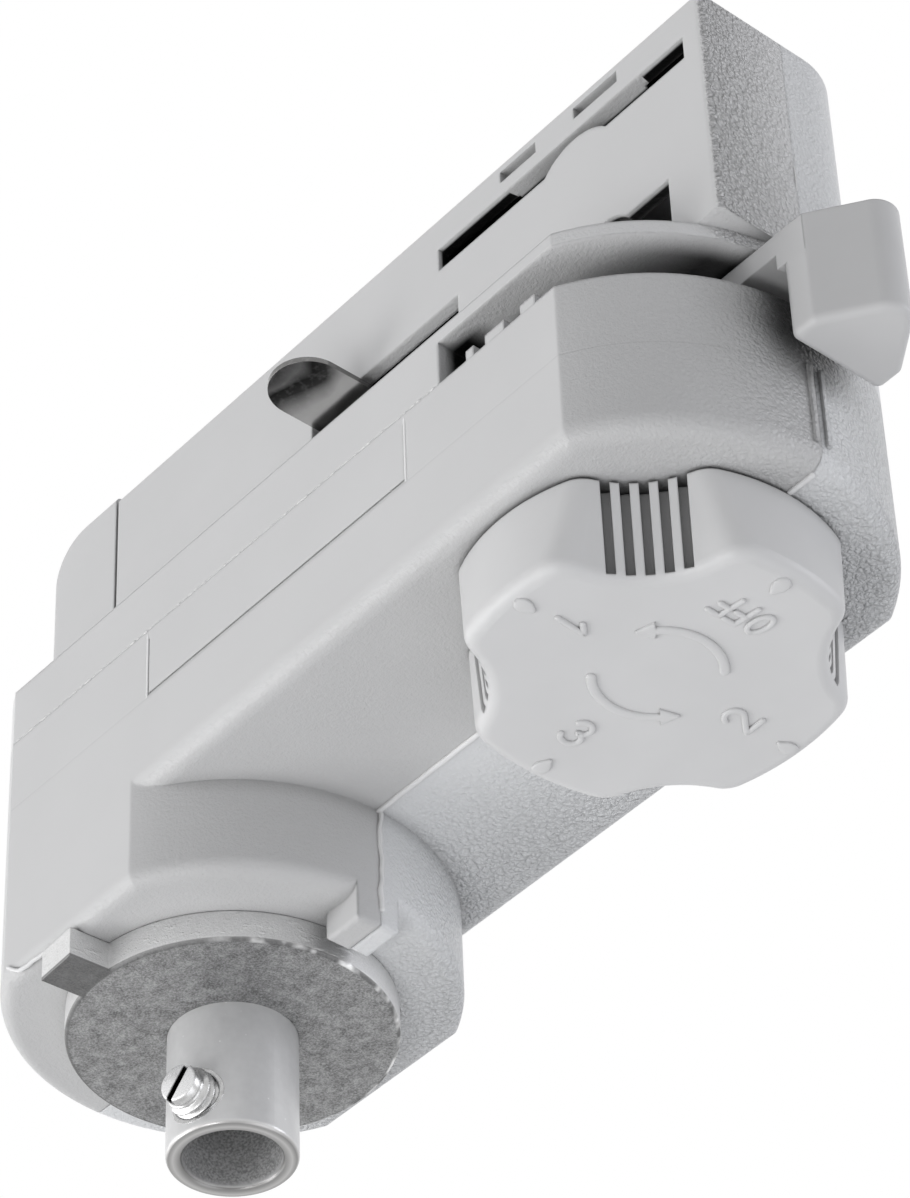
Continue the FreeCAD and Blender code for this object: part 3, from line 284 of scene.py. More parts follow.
def pebbles(n):
    """Small cells with wavering outlines, since a noise moves each place before they are drawn."""
    inputs = {"Vector": n.place, "Scale": 1 / (0.5 * MM), "Detail": 1.0}
    drift = n.add("ShaderNodeTexNoise", inputs).outputs["Color"]
    drift = n.add("ShaderNodeVectorMath", {0: drift, 1: (0.4 * MM,) * 3}, operation="MULTIPLY")
    moved = n.add("ShaderNodeVectorMath", {0: n.place, 1: drift.outputs[0]}, operation="ADD")
    return n.cells(PEBBLE_MM, moved.outputs[0])


def shell_plastic(name, grained, fine_mm, coarse_mm, coarse_from=None, inside=None, witness=None,
                  shadow=None):
    """Housing plastic: smooth on its flat sides, grained elsewhere, painted black inside as shade.

    grained is the tone of the grained walls, fine_mm and coarse_mm the depths of the two grains.
    The rest are functions that give masks: coarse_from for the coarse grain, inside for the painted
    shade of the interior, witness for a hairline, and shadow for a painted shadow where a neighbour
    keeps the light away.
    """
    n = Nodes(name)
    rounded = n.soft_edges(0.45)
    face_y = n.add("ShaderNodeSeparateXYZ", {"Vector": rounded}).outputs[1]
    wall = n.spread(n.size(face_y), 0.8, 0.99, 1.0, 0.0, smooth=True)
    cloud = n.spread(n.noise(16.0, 3.0), 0.35, 0.65)
    colour = n.blend(wall, grey(SIDE_LEVEL), grained)
    colour = n.blend(n.product(cloud, 0.06), colour, grey(255))

    cells = pebbles(n)
    deep = coarse_from(n) if coarse_from else 0.0
    # Painted shade in the grooves between the pebbles of the coarse grain.
    groove_shade = n.product(n.spread(cells, 0.3, 0.65), wall, deep, coarse_mm, 0.7)
    colour = n.blend(groove_shade, colour, grey(GROOVE_SHADE_LEVEL))
    pits = n.spread(n.cells(PIT_SPACING_MM), 0.0, 0.13, 1.0, 0.0)
    grain = n.calc("ADD", n.product(n.noise(0.3, 3.0, 0.65), fine_mm),
                   n.product(n.calc("SUBTRACT", 0.8, cells), deep, coarse_mm))
    grain = n.calc("ADD", grain, n.product(pits, 0.02))
    normal = n.bump(grain, rounded, wall)

    wave = n.product(n.noise(0.5, 1.0), 0.0012)
    if witness:
        hairline = witness(n)
        wave = n.calc("SUBTRACT", wave, n.product(hairline, 0.015))
        colour = n.blend(n.product(hairline, 0.12), colour, grey(SEAM_LEVEL))
    # Painted shade: the interior is blended to black.
    if inside:
        colour = n.blend(inside(n), colour, SHADE_BLACK)
    # Painted shade in corners and narrow gaps, where little light gets in.
    colour = n.paint_shade(colour, 3.5, 0.15, 0.6, 0.75)
    # A painted shadow, deepest in the narrow gap under the lever's grip.
    if shadow:
        shade = n.product(n.spread(n.shelter(8.0), 0.45, 0.95, 0.9, 0.0), shadow(n))
        colour = n.blend(shade, colour, SHADE_BLACK)
    n.shade(Base_Color=colour, Roughness=0.32)
    n.shade(Normal=n.bump(wave, normal), Specular_IOR_Level=0.5)
    return n.material


# %% Where shade is painted into the housing
def rail_hollow(n):
    """The hollow of the rail body.

    The pale walls of the shallow windows reach deeper than those of the openings beside them, so
    the painted shade starts at one of two depths. At the knob end it keeps inside the rear round
    corner.
    """
    beside = n.calc("MAXIMUM", n.below(n.x, CONTACT_BAR_X[0], 0.08),
                    n.above(n.x, CONTACT_BAR_X[1], 0.08))
    slot = n.product(n.above(n.z, CONTACT_SLOT_Z[0]), n.below(n.z, CONTACT_SLOT_Z[1], 0.05), beside)
    thin = n.calc("MAXIMUM", n.below(n.z, LOW_OPENINGS_Z), slot)
    limit = n.spread(thin, 0.0, 1.0, THICK_WALL_Y * MM, THIN_WALL_Y * MM)
    within = n.spread(n.calc("SUBTRACT", limit, n.size(n.y)), -0.1 * MM, 0.1 * MM)
    past = [n.calc("MAXIMUM", n.calc("SUBTRACT", value, start * MM), 0.0)
            for value, start in zip((n.x, n.y), RAIL_CORNER)]
    corner = n.below(n.distance(*past), RAIL_CORNER_INSIDE, 0.1)
    return n.product(within, n.between(n.x, RAIL_HOLLOW_X), n.between(n.z, RAIL_HOLLOW_Z), corner)


def rail_painted_shade(n):
    """Painted shade: the hollow of the rail body, and the lever's slot where no light gets in."""
    slot = n.product(n.between(n.z, LEVER_SLOT_Z, 0.04), n.above(n.x, LEVER_SLOT_X, 0.1))
    left = n.product(n.spread(n.x, 47.5 * MM, 51.5 * MM, 1.0, 0.0, smooth=True),
                     n.above(n.y, SIDE_Y + 1.0, 0.6))
    reach = n.distance(n.calc("SUBTRACT", n.x, KNOB_X * MM), n.y)
    deep = n.product(n.spread(reach, 16.1 * MM, 18.4 * MM, 1.0, 0.0, smooth=True),
                     n.spread(n.y, -13 * MM, -6.5 * MM, 0.2, 0.95))
    return n.calc("MAXIMUM", rail_hollow(n), n.product(slot, n.calc("MAXIMUM", left, deep)))


def lower_painted_shade(n):
    """Painted shade: the hollow of the lower housing, all that lies near the line between its two
    round ends.
    """
    past = n.calc("MAXIMUM", n.calc("SUBTRACT", n.x, LOWER_AXES_X[1] * MM),
                  n.calc("SUBTRACT", LOWER_AXES_X[0] * MM, n.x))
    away = n.distance(n.calc("MAXIMUM", past, 0.0), n.y)
    return n.product(n.below(away, LOWER_HOLLOW_RADIUS), n.between(n.z, LOWER_HOLLOW_Z))


def lever_shadow(n):
    """A painted shadow: the upper part of the knob end's wall, which the lever's grip hangs over."""
    return n.product(n.spread(n.z, -14 * MM, -9 * MM), n.spread(n.x, 58 * MM, 62 * MM),
                     n.below(n.y, 6.0, 4.0))


# %% Where the grain is coarse, and the split line
def knob_end(n):
    """The wall at the knob end of the rail body, above the flange."""
    return n.product(n.spread(n.faces[0], 0.25, 0.6), n.above(n.x, 67.5, 0.5), n.above(n.z, -1.2),
                     n.spread(n.y, -7 * MM, 0.0, 1.0, 0.4))


def grows_rearwards(n):
    """The rear lower shell's leather, deeper towards its far side and its knob end."""
    return n.calc("ADD", n.spread(n.y, 1 * MM, 13 * MM, 0.1, 1.0),
                  n.spread(n.x, 40 * MM, 69 * MM, 0.0, 0.3))


def towards_middle(n):
    """The front lower shell's end grain, which grows from its side to the middle plane."""
    return n.product(n.spread(n.y, -15 * MM, 0.0, 0.1, 1.0), n.spread(n.x, 50 * MM, 66 * MM))


def split_line(n):
    """The hairline round the lower housing, left by the mould's split line."""
    return n.product(n.line(n.z, SPLIT_LINE_Z, 0.14), n.below(n.y, 2.0))


# %% One finish for each shell
FRONT_LOWER = shell_plastic("front_lower_plastic", grey(194), 0.07, 0.12, towards_middle,
                            lower_painted_shade, split_line, lever_shadow)
REAR_LOWER = shell_plastic("rear_lower_plastic", grey(222, -0.012), 0.1, 0.3, grows_rearwards,
                           lower_painted_shade, split_line, lever_shadow)
FRONT_RAIL = shell_plastic("front_rail_plastic", grey(219), 0.08, 0.5, knob_end, rail_painted_shade)
REAR_RAIL = shell_plastic("rear_rail_plastic", grey(220, -0.012), 0.12, 0.26, knob_end, rail_painted_shade)
END_KEY = shell_plastic("end_key_plastic", grey(202), 0.04, 0.0)
HOUSING_FINISHES = (FRONT_LOWER, REAR_LOWER, FRONT_RAIL, REAR_RAIL, END_KEY)
print("housing finishes:", [finish.name for finish in HOUSING_FINISHES])


# %% The knob, the lever and the pieces inside
def smooth_plastic(name, level, roughness):
    """Moulded plastic from a polished mould: an even tone with painted shade in corners, a slight
    wave and soft edges.
    """
    n = Nodes(name)
    cloud = n.spread(n.noise(9.0, 3.0), 0.35, 0.65)
    colour = n.blend(cloud, grey(level - 2), grey(level + 2))
    n.shade(Base_Color=n.paint_shade(colour, 3.0, 0.15, 0.55, 0.7), Roughness=roughness)
    height = n.calc("ADD", n.product(n.noise(0.35, 2.0), 0.0012),
                    n.product(n.noise(5.0, 1.0), 0.01))
    n.shade(Normal=n.bump(height, n.soft_edges(0.22)), Specular_IOR_Level=0.5)
    return n.material


KNOB = smooth_plastic("knob_plastic_finish", 212, 0.38)
# The flash is the housing's plastic painted lighter, a painted highlight that makes the beads read
# as bright lines.
FLASH_HIGHLIGHT = smooth_plastic("flash_highlight_finish", 232, 0.25)
LEVER = smooth_plastic("lever_plastic_finish", 202, 0.36)
DRUM = smooth_plastic("drum_plastic_finish", 150, 0.45)
BLOCK = smooth_plastic("block_plastic_finish", 60, 0.5)
print("other plastics:", [finish.name for finish in (KNOB, FLASH_HIGHLIGHT, LEVER, DRUM, BLOCK)])

# %% [markdown]
# ## Metals
# The nipple is die-cast zinc: the plate has a dull, speckled skin from the mould, and the tube was
# blasted to a pale satin, with a polished ring at its mouth. The contacts are rolled strip, so
# their grain is much finer. Metal takes its look from what it reflects, so its own tone is kept a
# little darker than it appears. Some light is painted into the colour: reflection bands on the
# tube's ring and the tongue, and painted shade and a highlight on the plate's rim.


# %% Cast zinc
def cast_zinc():
    """Dull die-cast skin: speckles, fine pits and short flow marks, with painted light: lighter
    walls, a dark lower edge and a highlight on its knob side.
    """
    n = Nodes("cast_zinc_finish")
    blot = n.spread(n.noise(1.1, 5.0, 0.7), 0.35, 0.65)
    speck = n.spread(n.noise(0.17, 2.0, 0.7), 0.36, 0.64)
    tone = n.calc("ADD", n.product(blot, 0.45), n.product(speck, 0.55))
    # Painted light: the walls of the plate and its lug are made much lighter than its faces.
    wall = n.spread(n.size(n.faces[2]), 0.3, 0.7, 1.0, 0.0)
    colour = n.blend(tone, grey(98, -0.005), grey(180, -0.005))
    colour = n.blend(n.product(wall, 0.75), colour, grey(236))

    # Painted shade and a painted highlight: the lower edge is darkened all round and made bright on
    # its knob side.
    rim = n.product(n.below(n.z, PLATE_BOTTOM + 0.3, 0.04),
                    n.above(n.distance(n.x, n.y), PLATE_RIM_RADIUS, 0.06))
    knob_side = n.above(n.calc("ADD", n.x, n.y), 2.0, 3.0)
    rim_glint = n.product(rim, n.spread(n.noise(2.2, 2.0), 0.45, 0.62), knob_side)
    colour = n.blend(n.product(rim, 0.75), colour, grey(96))
    n.shade(Base_Color=n.blend(n.product(rim_glint, 0.9), colour, grey(236)), Metallic=0.75)
    n.shade(Roughness=n.spread(rim_glint, 0.0, 1.0, 0.5, 0.3))

    flow = n.add("ShaderNodeMapping", {"Vector": n.place, "Scale": (1.0, 0.3, 1.0),
                                       "Rotation": (0.0, 0.0, 0.9)}).outputs[0]
    marks = n.spread(n.noise(0.5, 3.0, 0.6, flow), 0.56, 0.72)
    height = n.calc("ADD", n.product(n.noise(0.2, 3.0, 0.7), 0.05), n.product(marks, 0.04))
    n.shade(Normal=n.bump(height, n.soft_edges(0.12)))
    return n.material


def satin_tube():
    """Blasted zinc with a polished ring at the mouth, banded with painted reflections, and a plain,
    darker bore.
    """
    n = Nodes("satin_tube_finish")
    away = n.distance(n.x, n.y)
    cloud = n.spread(n.noise(1.2, 4.0, 0.6), 0.3, 0.7)
    colour = n.blend(cloud, grey(209), grey(217))
    dust = n.spread(n.cells(1.5), 0.0, 0.07, 1.0, 0.0)
    colour = n.blend(dust, colour, grey(252))

    bore = n.product(n.below(away, BORE_RADIUS + 0.15, 0.08), n.above(n.z, TUBE_LOW[2] + 0.5, 0.3))
    grain = n.blend(n.spread(n.noise(0.2, 2.0), 0.35, 0.65), grey(150), grey(205))
    colour = n.blend(bore, colour, grain)

    mouth = n.product(n.below(n.z, TUBE_LOW[2] + 0.3, 0.1), n.above(away, BORE_RADIUS - 0.1, 0.1))
    # Painted reflections: bright and dark bands across the polished ring.
    ring = n.ramp(n.spread(away, 3.8 * MM, 5.3 * MM),
                  ((0.0, 235), (0.12, 120), (0.3, 150), (0.55, 185), (0.8, 140), (1.0, 225)))
    n.shade(Base_Color=n.blend(mouth, colour, ring), Metallic=n.spread(mouth, 0.0, 1.0, 0.25, 0.8))
    n.shade(Roughness=n.spread(mouth, 0.0, 1.0, 0.34, 0.3))
    n.shade(Normal=n.bump(n.product(n.noise(0.12, 2.0), 0.003), n.soft_edges(0.12)))
    return n.material


# %% Strip, steel and brass
def bright_metal(name, level, warmth, roughness):
    """Rolled or plated metal with a slightly mottled tone and a fine surface."""
    n = Nodes(name)
    cloud = n.spread(n.noise(1.5, 4.0, 0.6), 0.3, 0.7)
    tone = n.blend(cloud, grey(level - 6, warmth), grey(level + 6, warmth))
    n.shade(Base_Color=tone, Metallic=1.0)
    n.shade(Roughness=n.spread(n.noise(1.0, 3.0), 0.3, 0.7, roughness - 0.05, roughness + 0.05))
    n.shade(Normal=n.bump(n.product(n.noise(0.5, 3.0), 0.002), n.soft_edges(0.1)))
    return n.material


def screw_steel():
    """Bright steel for the grub screw, with painted shade down in its slot."""
    n = Nodes("screw_steel_finish")
    cloud = n.spread(n.noise(0.6, 4.0, 0.6), 0.3, 0.7)
    out, aside = (n.calc("ADD", n.product(n.x, float(way[0])), n.product(n.y, float(way[1])))
                  for way in (OUT, SIDE))
    away = n.distance(aside, n.calc("SUBTRACT", n.z, SCREW_Z * MM))
    # Painted shade: the slot is painted dark.
    slot = n.product(n.below(out, SCREW_END - 0.1, 0.05), n.below(away, 1.45, 0.05))
    head = n.above(out, SCREW_END - 0.12, 0.05)
    bright = n.blend(head, n.blend(cloud, grey(176), grey(204)), grey(236))
    n.shade(Base_Color=n.blend(slot, bright, grey(46)))
    n.shade(Metallic=n.spread(head, 0.0, 1.0, 1.0, 0.35))
    n.shade(Roughness=n.spread(n.noise(0.4, 3.0), 0.3, 0.7, 0.2, 0.34))
    n.shade(Normal=n.bump(n.product(n.noise(0.3, 3.0), 0.003), n.soft_edges(0.06)))
    return n.material


def tongue_metal():
    """The contact tongue: polished strip, with painted reflections in bands, as its slight curve
    would throw them.
    """
    n = Nodes("tongue_metal_finish")
    # Painted reflections: bands along the tongue, wavered by noise.
    band_wobble = n.product(n.calc("SUBTRACT", n.noise(4.0, 1.0), 0.5), 3.5 * MM)
    painted_reflection = n.ramp(n.spread(n.calc("ADD", n.y, band_wobble), -16.5 * MM, -8.5 * MM),
                   ((0.0, 190), (0.1, 96), (0.26, 138), (0.36, 50), (0.5, 66), (0.62, 150),
                    (0.75, 184), (0.9, 186), (1.0, 150)))
    # The edges keep an even, darker tone, a painted dark reflection.
    flat = n.spread(n.size(n.faces[2]), 0.6, 0.95)
    tone = n.blend(flat, grey(118, 0.01), painted_reflection)
    worn = n.spread(n.noise(0.5, 4.0, 0.6), 0.5, 0.75)
    n.shade(Base_Color=n.blend(n.product(worn, 0.12), tone, grey(215)))
    n.shade(Metallic=1.0, Roughness=0.22)
    n.shade(Normal=n.bump(n.product(n.noise(0.6, 2.0), 0.0015), n.soft_edges(0.08)))
    return n.material


ZINC = cast_zinc()
TUBE = satin_tube()
TONGUE = tongue_metal()
CONTACT = bright_metal("contact_metal_finish", 205, 0.02, 0.22)
SPRING = bright_metal("spring_steel_finish", 170, 0.0, 0.3)
PLATED = bright_metal("plated_steel_finish", 185, 0.01, 0.3)
SCREW = screw_steel()
BRASS = bright_metal("terminal_brass_finish", 200, 0.18, 0.3)

# %% Give the solids their finishes
FINISHES = {
    "lower_shell_front": FRONT_LOWER, "lower_shell_rear": REAR_LOWER,
    "rail_shell_front": FRONT_RAIL, "rail_shell_rear": REAR_RAIL, "end_key": END_KEY,
    "lock_lever": LEVER, "lock_dogs": PLATED,
    "selector_knob": KNOB, "selector_spindle": BLOCK, "contact_drum": DRUM, "drum_cap": DRUM,
    "detent_wheel": DRUM, "phase_contact": CONTACT, "detent_spring": SPRING,
    "earth_contact": TONGUE, "neutral_contact": CONTACT,
    "nipple_plate": ZINC, "nipple_tube": TUBE, "friction_washer": PLATED, "nipple_nut": PLATED,
    "grub_screw": SCREW,
    "terminal_block": BLOCK, "terminal_clamps": BRASS, "terminal_screws": PLATED,
}
for node, finish in FINISHES.items():
    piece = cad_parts[node]
    piece.data.materials.clear()
    piece.data.materials.append(finish)
print(len(FINISHES), "solids finished")

# %% [markdown]
# ## Beads, ribs and raised strokes
# A raised mark, a line of flash and a mould seam are the same thing to a modeller: a small rounded
# section carried along a path. Curve objects could do it, but a grid of points worked out with
# numpy gives control of the width along the path, so that an arrow or a tapering lip needs nothing
# more.


# %% Rows of points to a closed mesh
SHARP_ANGLE = 0.7


def make_piece(name, patches, finish, body, ring=False):
    """One piece from patches of points, given in millimetres.

    A patch is rows of closed loops. Its first and last loops are capped, or joined to each other if
    the patch is a ring.
    """
    points, faces, start = [], [], 0
    for patch in patches:
        rows, count, _ = patch.shape
        index = start + np.arange(rows * count).reshape(rows, count)
        here, after = (index, np.roll(index, -1, 0)) if ring else (index[:-1], index[1:])
        quads = np.stack([here, np.roll(here, -1, 1), np.roll(after, -1, 1), after], axis=-1)
        faces += quads.reshape(-1, 4).tolist()
        faces += [] if ring else [index[0].tolist(), index[-1].tolist()]
        points.append(patch.reshape(-1, 3))
        start += rows * count
    mesh = bpy.data.meshes.new(name)
    mesh.from_pydata(np.concatenate(points) * MM, [], faces)
    shape = bmesh.new()
    shape.from_mesh(mesh)
    bmesh.ops.recalc_face_normals(shape, faces=shape.faces)
    for face in shape.faces:
        face.smooth = True
    for edge in shape.edges:
        edge.smooth = edge.calc_face_angle(0.0) < SHARP_ANGLE
    shape.to_mesh(mesh)
    shape.free()
    mesh.materials.append(finish)
    piece = bpy.data.objects.new(name, mesh)
    bpy.context.scene.collection.objects.link(piece)
    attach(piece, body)
    print(name, "faces:", len(mesh.polygons))
    return piece


# %% A rounded section carried along a path
def bead(path, up, width, height, sink=0.12, power=0.6, ends=5):
    """A raised bead on a surface, as rows of closed loops.

    The section at each path point is, for an angle a from 0 to a half turn: across, half the width
    times cos a, and up, the height times sin a, each taken to the power with its sign kept. A flat
    bottom sunk under the surface closes it. At both ends the width shrinks along a quarter circle
    to a round tip.
    """
    path = np.asarray(path, float)
    rows = len(path)
    up = np.broadcast_to(np.asarray(up, float), (rows, 3))
    width = np.broadcast_to(np.asarray(width, float), rows)
    height = np.broadcast_to(np.asarray(height, float), rows)
    tangent = np.gradient(path, axis=0)
    tangent /= np.linalg.norm(tangent, axis=1)[:, None]
    turn = np.linspace(0.25, np.pi / 2, ends + 1)[:-1]
    first = path[0] - tangent[0] * (np.cos(turn) * width[0] / 2)[:, None]
    last = path[-1] + tangent[-1] * (np.cos(turn[::-1]) * width[-1] / 2)[:, None]
    grow = np.concatenate([np.sin(turn), np.ones(rows), np.sin(turn[::-1])])
    pad = (ends, ends)
    path = np.concatenate([first, path, last])
    tangent = np.pad(tangent, (pad, (0, 0)), mode="edge")
    up = np.pad(up, (pad, (0, 0)), mode="edge")
    half = np.pad(width, pad, mode="edge") / 2 * grow
    tall = np.pad(height, pad, mode="edge") * grow ** 0.5
    side = np.cross(tangent, up)
    side /= np.linalg.norm(side, axis=1)[:, None]
    angle = np.linspace(0, np.pi, 9)
    across = np.sign(np.cos(angle)) * np.abs(np.cos(angle)) ** power
    rise = np.abs(np.sin(angle)) ** power
    across = np.concatenate([across, [-1.0, 1.0]])
    lift = np.concatenate([tall[:, None] * rise, np.full((len(path), 2), -sink)], axis=1)
    return (path[:, None] + side[:, None] * (half[:, None] * across)[..., None]
            + up[:, None] * lift[..., None])


def through(points, spacing):
    """A path through corner points, sampled evenly along its straight runs."""
    points = np.asarray(points, float)
    steps = np.linalg.norm(np.diff(points, axis=0), axis=1)
    travel = np.concatenate([[0.0], np.cumsum(steps)])
    where = np.linspace(0, travel[-1], max(3, int(travel[-1] / spacing) + 1))
    return np.stack([np.interp(where, travel, part) for part in points.T], axis=1)


# %% [markdown]
# ## The knob's marks
# The dial has a small pad at each lobe, the figures 1, 2 and 3, the word OFF, and two arrows that
# say which way it turns. They stand a fraction of a millimetre above the face. A font would need a
# text object and its own outline work; strokes drawn one by one match the plain moulded figures
# better. Each one is a few arcs and lines in its own small square, with its middle at the origin.


# %% Figures as strokes
def arc(centre, radius, start, end, squash=1.0, steps=17):
    """Points on part of an ellipse: centre + radius (cos a, squash sin a), angles in degrees."""
    angle = np.radians(np.linspace(start, end, steps))
    return np.asarray(centre) + radius * np.stack([np.cos(angle), squash * np.sin(angle)], axis=1)


def joined(*parts):
    """Several runs of points as one path, without doubled points, sampled evenly."""
    points = np.concatenate([np.atleast_2d(part) for part in parts])
    keep = np.concatenate([[True], np.linalg.norm(np.diff(points, axis=0), axis=1) > 1e-6])
    return through(points[keep], 0.1)


UPPER = 2.7 / 2
ONE = [joined([[-0.62, 0.5]], [[0.1, UPPER]], [[0.1, -UPPER]])]
TWO = [joined(arc((0.0, 0.62), 0.78, 165, -35, 0.95), [[-0.85, -UPPER]], [[0.95, -UPPER]])]
THREE = [joined(arc((0.0, 0.68), 0.72, 160, -80, 0.93), arc((0.0, -0.62), 0.86, 88, -165, 0.86))]
LETTER_O = [joined(arc((0.0, 0.0), 0.62, 90, 450, 1.75, 33))]
LETTER_F = [joined([[0.6, UPPER - 0.25]], [[-0.5, UPPER - 0.25]], [[-0.5, -UPPER + 0.2]]),
            joined([[-0.45, 0.05]], [[0.45, 0.05]])]
print("strokes:", sum(len(strokes) for strokes in (ONE, TWO, THREE, LETTER_O, LETTER_F)))

# %% Strokes on the knob's face
MARK_HEIGHT = 0.24


def face_path(flat):
    """A path on the knob's face from points that are measured from the knob's axis."""
    return np.column_stack([flat[:, 0] + KNOB_X, flat[:, 1], np.full(len(flat), KNOB_LOW[2])])


def on_face(strokes, middle, up, width=0.5, slant=0.0):
    """Beads for strokes drawn in a square, placed on the knob's face.

    A point (a, b) lies at middle + (a + slant b) right + b up. Right is a quarter turn from up, on
    the side that makes the figure read properly from below.
    """
    up = np.asarray(up, float) / np.linalg.norm(up)
    right = np.array([-up[1], up[0]])
    beads = []
    for stroke in strokes:
        a, b = stroke[:, :1], stroke[:, 1:]
        flat = np.asarray(middle) + (a + slant * b) * right + b * up
        beads.append(bead(face_path(flat), (0, 0, -1), width, MARK_HEIGHT))
    return beads


def towards_axis(strokes, middle):
    """Beads for a figure whose top points to the knob's axis."""
    return on_face(strokes, middle, -np.asarray(middle))


# %% Arrows and pads
def arrow(start, end, centre=(0.3, -0.35), radius=4.9, width=0.78):
    """An arc that ends in an arrowhead: the width jumps to the head's and falls to a point."""
    run = arc(centre, radius, start, end, steps=33)
    turn = np.radians(end + np.sign(end - start) * 90)
    ahead = np.array([np.cos(turn), np.sin(turn)])
    head = run[-1] + ahead * np.linspace(0.0, 1.35, 9)[:, None]
    widths = np.concatenate([np.full(len(run), width), np.linspace(1.9, 0.3, 9)])
    return bead(face_path(np.concatenate([run, head])), (0, 0, -1), widths, MARK_HEIGHT)


def lobe_pad(angle):
    """A small pad at a lobe: flat outside, with its rounded point towards the axis."""
    way = np.array([np.cos(np.radians(angle)), np.sin(np.radians(angle))])
    travel = np.linspace(13.2, 12.15, 12)
    widths = np.interp(travel, [12.15, 12.35, 12.75, 13.2], [0.45, 0.75, 1.25, 1.35])
    return bead(face_path(travel[:, None] * way), (0, 0, -1), widths, 0.22, power=0.35, ends=2)


# %% The marks as one piece
marks = towards_axis(ONE, (0.5, -8.9)) + towards_axis(TWO, (0.2, 8.0))
marks += towards_axis(THREE, (-8.4, -0.6))
for letter, place in ((LETTER_O, 1.75), (LETTER_F, -0.1), (LETTER_F, -1.65)):
    marks += on_face(letter, (9.0, place), (-1.0, 0.0), width=0.46, slant=0.14)
marks += [arrow(48, -44), arrow(228, 136)]
marks += [lobe_pad(angle) for angle in (0, 90, 180, 270)]
make_piece("knob_marks", marks, KNOB, "selector")

# %% [markdown]
# ## Seams and flash on the housing
# The two lower shells meet in the middle plane. Along that joint a thin bead of plastic stands
# proud, down the boss's wall and along the floor to the knob. It wavers slightly, as flash does, so
# its path gets a small sum of sines. Finer ones lie on the photographed side: a torn hairline where
# the flange meets the shell, faint lines at the plate let into the mould, a lip at the nipple end,
# and a sliver on the joint at the rail body's knob end.


# %% The bead down the boss and along the floor
def floor_bead(start_x, end_x):
    """The joint's ridge along the flat floor, straight and very low."""
    x = np.linspace(start_x, end_x, 60)
    path = np.column_stack([x, 0.012 * np.sin(x * 1.7), np.full_like(x, FLOOR_Z)])
    return bead(path, (0, 0, -1), 0.46, 0.24)


def boss_bead():
    """The wavy flash down the boss's wall, widest where it meets the stop."""
    z = np.linspace(FLOOR_Z - 0.1, BOSS_Z - 0.9, 60)
    fall = (z - z[0]) / (z[-1] - z[0])
    y = 0.1 + 0.09 * np.sin(z * 1.15 + 0.6) + 0.035 * np.sin(z * 3.1)
    x = np.sqrt(BOSS_RADIUS ** 2 - y ** 2) - 0.02
    width = 0.36 + 0.05 * np.sin(z * 2.3) + 0.14 * fall ** 6
    return bead(np.column_stack([x, y, z]), (1, 0, 0), width, 0.3)


# %% Fine flash on the photographed side
def side_flash():
    """A hairline of flash where the flange meets the lower shell, uneven like a torn edge."""
    x = np.linspace(-7.6, LEVER_SLOT_X, 420)
    torn = np.sin(x * 5.3) * np.sin(x * 2.1 + 0.5) + 0.5 * np.sin(x * 11.7) + 0.4 * np.sin(x * 0.9)
    height = 0.1 * np.clip(torn, 0.04, 1.0)
    path = np.column_stack([x, np.full_like(x, SIDE_Y), np.full_like(x, SEAM_Z)])
    return bead(path, (0, -1, 0), 0.12 + height, height, sink=0.05)


def insert_line(x):
    """A faint line down one edge of the plate let into the mould, over the step that it leaves."""
    z = np.linspace(-12.45, -6.0, 60)
    path = np.column_stack([np.full_like(z, x), np.full_like(z, SIDE_Y + 0.06), z])
    return bead(path, (0, -1, 0), 0.3, 0.075)


def end_flash():
    """A short sliver of flash on the joint of the rail body's knob end."""
    z = np.linspace(7.2, 9.9, 30)
    path = np.column_stack([np.full_like(z, RAIL_END_X), np.zeros_like(z), z])
    return bead(path, (1, 0, 0), 0.16, 0.1 * np.sin(np.linspace(0.3, 2.8, 30)))


def side_lip():
    """The lip of flash along the lower edge of the flat side, at its nipple end."""
    x = np.linspace(-7.4, 0.4, 40)
    fall = np.interp(x, [-7.4, -6.1, 0.4], [0.0, 1.0, 1.15])
    z = BOSS_Z + 1.1 - 0.95 * fall + 0.03 * np.sin(x * 4.0)
    y = SIDE_Y + 0.15 * fall
    height = np.interp(x, [-7.4, -6.0, 0.4], [0.25, 0.2, 0.03])
    return bead(np.column_stack([x, y, z]), (0, -1, 0), 0.3, height)


# %% The seams as one piece
seam_patches = [side_flash(), end_flash(), *map(insert_line, INSERT_EDGES_X), side_lip(),
                boss_bead(), floor_bead(BOSS_RADIUS - 0.2, KNOB_LOW[0] + 3.0),
                floor_bead(KNOB_HIGH[0] - 3.0, END_X - 1.6)]
make_piece("seam_beads", seam_patches, FLASH_HIGHLIGHT, "housing")

# %% [markdown]
# ## The grub screw
# The screw that locks a lamp's stem is a slotted one with a fine thread. A thread is a height field
# on a cylinder: the radius rises and falls with the place along the axis less the turn's share of
# the pitch. The head end is plain and carries the slot, which two half-moon pads leave open between
# them.

# %% Rows of points round the screw's axis
SCREW_ROOT = 1.62
THREAD_PITCH = 0.7
SLOT_WIDTH = 0.55
SLOT_DEPTH = 0.75
SLOT_LEAN = np.radians(57.0)


def round_rows(along, radius, turns):
    """Points at distances along the screw's axis, with a radius for each row and turn."""
    ring = np.cos(turns)[None, :, None] * SIDE + np.sin(turns)[None, :, None] * UP
    middle = along[:, None, None] * OUT + np.array([0.0, 0.0, SCREW_Z])
    return middle + radius[..., None] * ring


